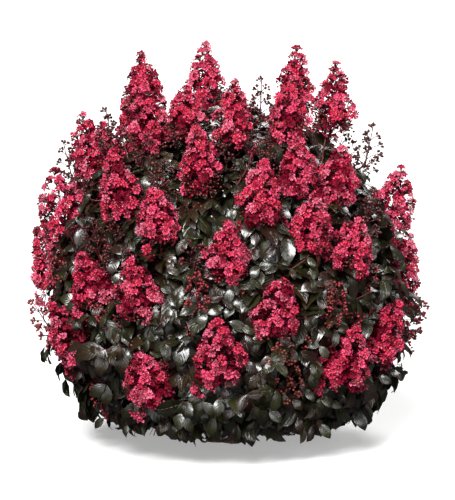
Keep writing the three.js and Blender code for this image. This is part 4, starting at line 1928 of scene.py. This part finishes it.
    def tufts(
        self, head: Head, whorls: Sequence[Whorl], reach: float, random: np.random.Generator
    ) -> Iterator[Tuft]:
        """The ends of a head's side branches, whorl by whorl.

        Args:
            head: the head.
            whorls: its whorls.
            reach: how far the branches reach, as a share of the head's radius there.
            random: where the small differences come from.

        Yields:
            The tufts.
        """
        side, other = across(head.axis)
        phase = random.random() * TURN
        for whorl in whorls:
            phase += GOLDEN_ANGLE
            for i in range(whorl.branches):
                angle = phase + TURN * i / whorl.branches + self.turn_jitter * (random.random() - 0.5)
                spoke = side * math.cos(angle) + other * math.sin(angle)
                here = whorl.rise + self.rise_jitter * (random.random() - 0.5)
                wide = head.radius * read(self.outline, here) * reach
                wide *= self.branch_reaches.at(random.random())
                end = head.foot + head.axis * here * head.length + spoke * wide
                drop = min(self.branch_drop.at(wide), self.longest_drop)
                root = head.foot + head.axis * (here * head.length - drop)
                yield Tuft(whorl, end, root, unit(end - root))

    def spread(self, facing: np.ndarray, count: int, width: float, random: np.random.Generator) -> np.ndarray:
        """Directions spread evenly round one, in a cone.

        Args:
            facing: the middle direction.
            count: how many directions.
            width: how wide the cone is.
            random: where the small differences come from.

        Returns:
            The directions.
        """
        side, other = across(facing)
        turns = random.random() * TURN + GOLDEN_ANGLE * np.arange(count)
        wide = width * np.sqrt((np.arange(count) + self.first_out) / count)
        aside, off = (np.cos(turns) * wide)[:, None], (np.sin(turns) * wide)[:, None]
        return unit(facing + aside * side + off * other)

    def dress_open(self, head: Head, sprays: Sprays, random: np.random.Generator) -> None:
        """Adds the flowers, buds and stalks of an open head.

        Args:
            head: the head.
            sprays: what they are added to.
            random: where the small differences come from.
        """
        late = random.random() < self.late_share
        for tuft in self.tufts(head, self.open_whorls, self.open_reach, random):
            rise = tuft.whorl.rise
            above = head.axis * max(0.0, rise - self.outward_from) * head.length
            outward = unit(tuft.end - head.foot - above)
            tone = int(random.choice(len(PetalTone), p=[each.value for each in PetalTone]))
            faded = rise < self.faded_below and random.random() < read(self.faded, head.foot[2])
            self.add_flowers(tuft, outward, 0 if faded else tuft.whorl.flowers, tone, sprays, random)
            buds = tuft.whorl.buds + (1 if late else 0) + (self.faded_buds if faded else 0)
            for direction in self.spread(outward, buds, self.side_bud_cone, random):
                reach = self.tuft_slim.at(rise) * self.side_bud_places.at(random.random())
                place = tuft.end + direction * self.tuft * reach
                size = self.side_bud_sizes.at(random.random())
                own = int(random.integers(0, len(BUD_FINISHES)))
                sprays.add_bud(tuft.end, Bud(place, direction, size, own))
            sprays.add_branch(tuft, head.axis * self.branch_arch)
        self.add_core(head, sprays, random)
        self.dress_budded(head, sprays, random, self.skirt_whorls, self.bud_reach)

    def add_flowers(
        self,
        tuft: Tuft,
        outward: np.ndarray,
        count: int,
        tone: int,
        sprays: Sprays,
        random: np.random.Generator,
    ) -> None:
        """Adds the flowers of a tuft, most of them in its tone.

        Args:
            tuft: the tuft.
            outward: the middle of their directions.
            count: how many there are.
            tone: the index of the tuft's tone.
            sprays: what they are added to.
            random: where the small differences come from.
        """
        for direction in self.spread(outward, count, self.flower_cone, random):
            reach = self.tuft_slim.at(tuft.whorl.rise) * self.flower_places.at(random.random())
            place = tuft.end + direction * self.tuft * reach
            size = self.flower_sizes.at(random.random()) * self.flower_shrink.at(tuft.whorl.rise)
            own = tone if random.random() > self.odd_flower else int(random.integers(0, len(PetalTone)))
            flower = Flower(place, direction, size, own, random.random())
            sprays.add_flower(tuft.end - outward * self.flower_stalk, flower)

    def add_core(self, head: Head, sprays: Sprays, random: np.random.Generator) -> None:
        """Adds the large flowers in the shade of a head's middle: most take the dark wine tone, which paints
        that shade, and some of them are bright.

        Args:
            head: the head.
            sprays: what its parts are added to.
            random: where the small differences come from.
        """
        for tuft in self.tufts(head, self.core_whorls, self.core_reach, random):
            # painted shade: most of the middle flowers take the dark wine tone
            tone = PetalTone.CRIMSON if random.random() < self.core_bright else PetalTone.WINE
            size = self.core_size * self.core_sizes.at(random.random())
            size *= self.core_bright_size if tone is PetalTone.CRIMSON else 1.0
            sprays.flowers.append(Flower(tuft.end, tuft.facing, size, tone.index, random.random()))

    def dress_budded(
        self,
        head: Head,
        sprays: Sprays,
        random: np.random.Generator,
        whorls: Sequence[Whorl],
        reach: float,
    ) -> None:
        """Adds the buds and stalks of whorls that are still in bud.

        Args:
            head: the head.
            sprays: what they are added to.
            random: where the small differences come from.
            whorls: the whorls.
            reach: how far their branches reach, as a share of the head's radius there.
        """
        tones = len(BUD_FINISHES)
        tone = 0 if head.foot[2] > self.dark_buds else int(random.integers(1, tones))
        for tuft in self.tufts(head, whorls, reach, random):
            for direction in self.spread(tuft.facing, tuft.whorl.buds, self.bud_cone, random):
                place = tuft.end + direction * self.bud_tuft * self.bud_places.at(random.random())
                own = tone if random.random() > self.odd_bud else int(random.integers(0, tones))
                sprays.add_bud(tuft.end, Bud(place, direction, self.bud_sizes.at(random.random()), own))
            sprays.add_branch(tuft, head.axis * self.branch_arch)

    def dress(self) -> Sprays:
        """Works out every panicle, and the small sprays of buds at the tips of some twigs.

        Returns:
            The flowers, buds and stalks of all heads.
        """
        random = np.random.default_rng(self.dress_seed)
        sprays = Sprays()
        for head in self.heads.heads:
            if head.kind is HeadKind.OPEN:
                self.dress_open(head, sprays, random)
            else:
                radius = max(head.radius, self.slimmest_bud_head)
                loose = Head(head.kind, head.foot, head.axis, head.length, radius)
                self.dress_budded(loose, sprays, random, self.bud_whorls, self.bud_reach)
        low, high = self.spray_heights
        for twig in self.twigs.twigs:
            tip = twig.curve.at(1.0)
            if twig.kind is TwigKind.FINE and low < tip[2] < high and random.random() < self.spray_share:
                axis = unit(twig.curve.tangent(1.0) + self.spray_lift * UP)
                young = Head(HeadKind.BUDDED, tip, axis, *self.spray_size)
                self.dress_budded(young, sprays, random, self.spray_whorls, self.spray_reach)
        return sprays

    def frames(self, facing: np.ndarray, turns: np.ndarray, sizes: np.ndarray) -> np.ndarray:
        """Matrices that turn +Z to each direction, turned about it and scaled.

        Args:
            facing: the directions.
            turns: the turns about them.
            sizes: the scales.

        Returns:
            The matrices.
        """
        side, other = across(facing)
        c, s = np.cos(turns)[:, None], np.sin(turns)[:, None]
        first, second = side * c + other * s, other * c - side * s
        return np.stack([first, second, facing], axis=-1) * sizes[:, None, None]

    def build(self) -> None:
        """Builds the petals, hearts, buds and stalks, each kind apart."""
        random = np.random.default_rng(self.build_seed)
        sprays = self.dress()
        self.build_flowers(sprays, random)
        self.build_buds(sprays, random)
        self.build_stalks(sprays, random)

    def build_flowers(self, sprays: Sprays, random: np.random.Generator) -> None:
        """Builds the petals in their tones, and the hearts.

        Args:
            sprays: the flowers of all heads.
            random: where the small differences come from.
        """
        places, facing, sizes, tone_of, tints = (np.array(column) for column in zip(*sprays.flowers))
        LOG.info("%d flowers", len(places))
        facing = unit(facing + self.face_jitter * (random.random(facing.shape) - 0.5))
        frames = self.frames(facing, random.random(len(places)) * TURN, sizes)
        shapes = [self.petals(*bend, seed) for seed, bend in enumerate(self.petal_bends)]
        plain = [self.petals(*bend, seed, 0) for seed, bend in enumerate(self.petal_bends)]
        kind_of = random.integers(0, len(shapes), len(places))
        for tone in PetalTone:
            joined = JoinedMesh()
            for kind, shape in enumerate(plain if tone is PetalTone.WINE else shapes):
                chosen = (tone_of == tone.index) & (kind_of == kind)
                joined.add(shape, frames[chosen], places[chosen], tints[chosen])
            piece = joined.build(f"petals_{tone.name.lower()}", PETAL_FINISHES[tone.index].material())
            settle(piece)
        hearts = JoinedMesh()
        # the wine flowers get no hearts; wine is a dark tone that also paints the shade in each head's middle
        bright = tone_of != PetalTone.WINE.index
        hearts.add(self.heart(), frames[bright], places[bright], tints[bright])
        settle(hearts.build("flower_hearts", STAMENS.material(), smooth=False))

    def build_buds(self, sprays: Sprays, random: np.random.Generator) -> None:
        """Builds the buds in their tones.

        Args:
            sprays: the buds of all heads.
            random: where the small differences come from.
        """
        places, facing, sizes, tone_of = (np.array(column) for column in zip(*sprays.buds))
        LOG.info("%d buds", len(places))
        frames = self.frames(facing, random.random(len(places)) * TURN, sizes)
        tints = random.random(len(places))
        blunt = random.random(len(places)) < 0.5
        shapes = [self.bud(pointed) for pointed in self.bud_points]
        for tone, finish in enumerate(BUD_FINISHES):
            joined = JoinedMesh()
            for shape, some in zip(shapes, (blunt, ~blunt)):
                chosen = (tone_of == tone) & some
                joined.add(shape, frames[chosen], places[chosen], tints[chosen])
            settle(joined.build(finish.name, finish.material()))

    def build_stalks(self, sprays: Sprays, random: np.random.Generator) -> None:
        """Builds the stalks of the heads, their side branches and the stalk of each flower and bud.

        Args:
            sprays: the stalks of all heads.
            random: where the small differences come from.
        """
        shares = self.stalk_reach.at(np.linspace(0, 1, len(self.stalk_radii))[:, None])
        stalks = [head.foot + head.axis * head.length * shares for head in self.heads.heads]
        joined = JoinedMesh()
        for lines, radii, sides in (
            (stalks, self.stalk_radii, 5),
            (sprays.branches, self.branch_radii, 4),
            (sprays.flower_stalks, self.flower_stalk_radii, 3),
            (sprays.bud_stalks, self.bud_stalk_radii, 3),
        ):
            tints = random.random(len(lines))
            joined.add_tubes(np.array(lines), np.tile(radii, (len(lines), 1)), sides, tints)
        settle(joined.build("flower_stalks", STALK_WOOD.material()))


# ---------------------------------------------------------------- studio


@dataclass(frozen=True)
class Sun:
    """A broad light from far away: where it comes from, how many degrees wide it is and its strength."""

    name: str
    place: Triple
    width: float
    strength: float


SUNS = (
    Sun("key", (-0.8, -3.0, 2.9), 26.0, 4.75),
    Sun("low", (-1.0, -3.0, 0.4), 50.0, 0.65),
    Sun("back", (0.9, 2.4, 2.9), 34.0, 2.2),
)


@dataclass
class Studio:
    """The pale floor, the soft lights and the camera."""

    azimuth: float = 0.0
    elevation: float = math.radians(10)
    aim: Triple = (-0.001, 0.0, 0.540)
    distance: float = 14.0
    view_height: float = 1.40
    sensor: float = 36.0
    floor_size: float = 90.0
    floor_drop: float = 0.0005
    fill_place: Triple = (3.2, -2.6, 1.8)
    fill_aim: Triple = (0, 0, 0.55)
    fill_size: float = 2.2
    fill_power: float = 40.0
    air: float = 0.06

    def build(self) -> None:
        """Builds the floor, the lights and the camera."""
        self.floor()
        for sun in SUNS:
            data = bpy.data.lights.new(sun.name, "SUN")
            data.angle, data.energy = math.radians(sun.width), sun.strength
            self.lamp(data, Vector(), -Vector(sun.place))
        self.fill()
        self.world()
        self.camera()

    def floor(self) -> None:
        """Adds the floor, which only the camera sees."""
        bm = bmesh.new()
        bmesh.ops.create_grid(bm, x_segments=4, y_segments=4, size=self.floor_size / 2)
        bmesh.ops.translate(bm, verts=bm.verts, vec=(0, 0, -self.floor_drop))
        floor = placed("floor", finished(bm, "floor", smooth=False), FloorFinish().material())
        floor.visible_glossy = False
        floor.visible_diffuse = False
        floor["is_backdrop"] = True

    def lamp(self, data: bpy.types.Light, place: Vector, towards: Vector) -> bpy.types.Object:
        """Adds the object of a light, at a place and turned towards a direction.

        Args:
            data: the light.
            place: where it stands.
            towards: the direction that it shines in.

        Returns:
            The lamp's object.
        """
        lamp = bpy.data.objects.new(data.name, data)
        lamp.location = place
        lamp.rotation_euler = towards.to_track_quat("-Z", "Y").to_euler()
        bpy.context.scene.collection.objects.link(lamp)
        return lamp

    def fill(self) -> None:
        """Adds a soft round light that fills the shade on the right."""
        data = bpy.data.lights.new("fill", "AREA")
        data.shape, data.size, data.energy = "DISK", self.fill_size, self.fill_power
        place = Vector(self.fill_place)
        self.lamp(data, place, Vector(self.fill_aim) - place).visible_camera = False

    def world(self) -> None:
        """Adds the white air of the studio."""
        world = bpy.data.worlds.new("studio_air")
        world.use_nodes = True
        background = world.node_tree.nodes["Background"]
        background.inputs["Color"].default_value = (1.0, 1.0, 1.0, 1.0)
        background.inputs["Strength"].default_value = self.air
        bpy.context.scene.world = world
        bpy.context.scene.view_settings.view_transform = "Standard"

    def camera(self) -> None:
        """Adds the camera."""
        data = bpy.data.cameras.new("camera")
        data.sensor_width = self.sensor
        data.lens = self.sensor * self.distance / self.view_height
        back = Vector(heading(self.azimuth, self.elevation))
        camera = bpy.data.objects.new("camera", data)
        camera.location = Vector(self.aim) + back * self.distance
        camera.rotation_euler = (-back).to_track_quat("-Z", "Y").to_euler()
        bpy.context.scene.collection.objects.link(camera)
        bpy.context.scene.camera = camera


# ---------------------------------------------------------------- the plant


def main() -> None:
    """Builds the plant and its studio, and reports each piece."""
    logging.basicConfig(level=logging.INFO, format="%(message)s")
    crown = Crown()
    heads = HeadPlan(crown)
    plan = MassPlan(crown)
    Studio().build()
    Limbs(plan).build()
    twigs = Twigs(crown, heads, plan)
    twigs.build()
    Leaves(crown, heads, twigs).build()
    Blossom(heads, twigs).build()
    corners = {"cad": CAD_BOX, "visual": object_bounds()}
    json.dumps({key: [list(c) for c in box] for key, box in corners.items()})


if __name__ == "__main__":
    main()
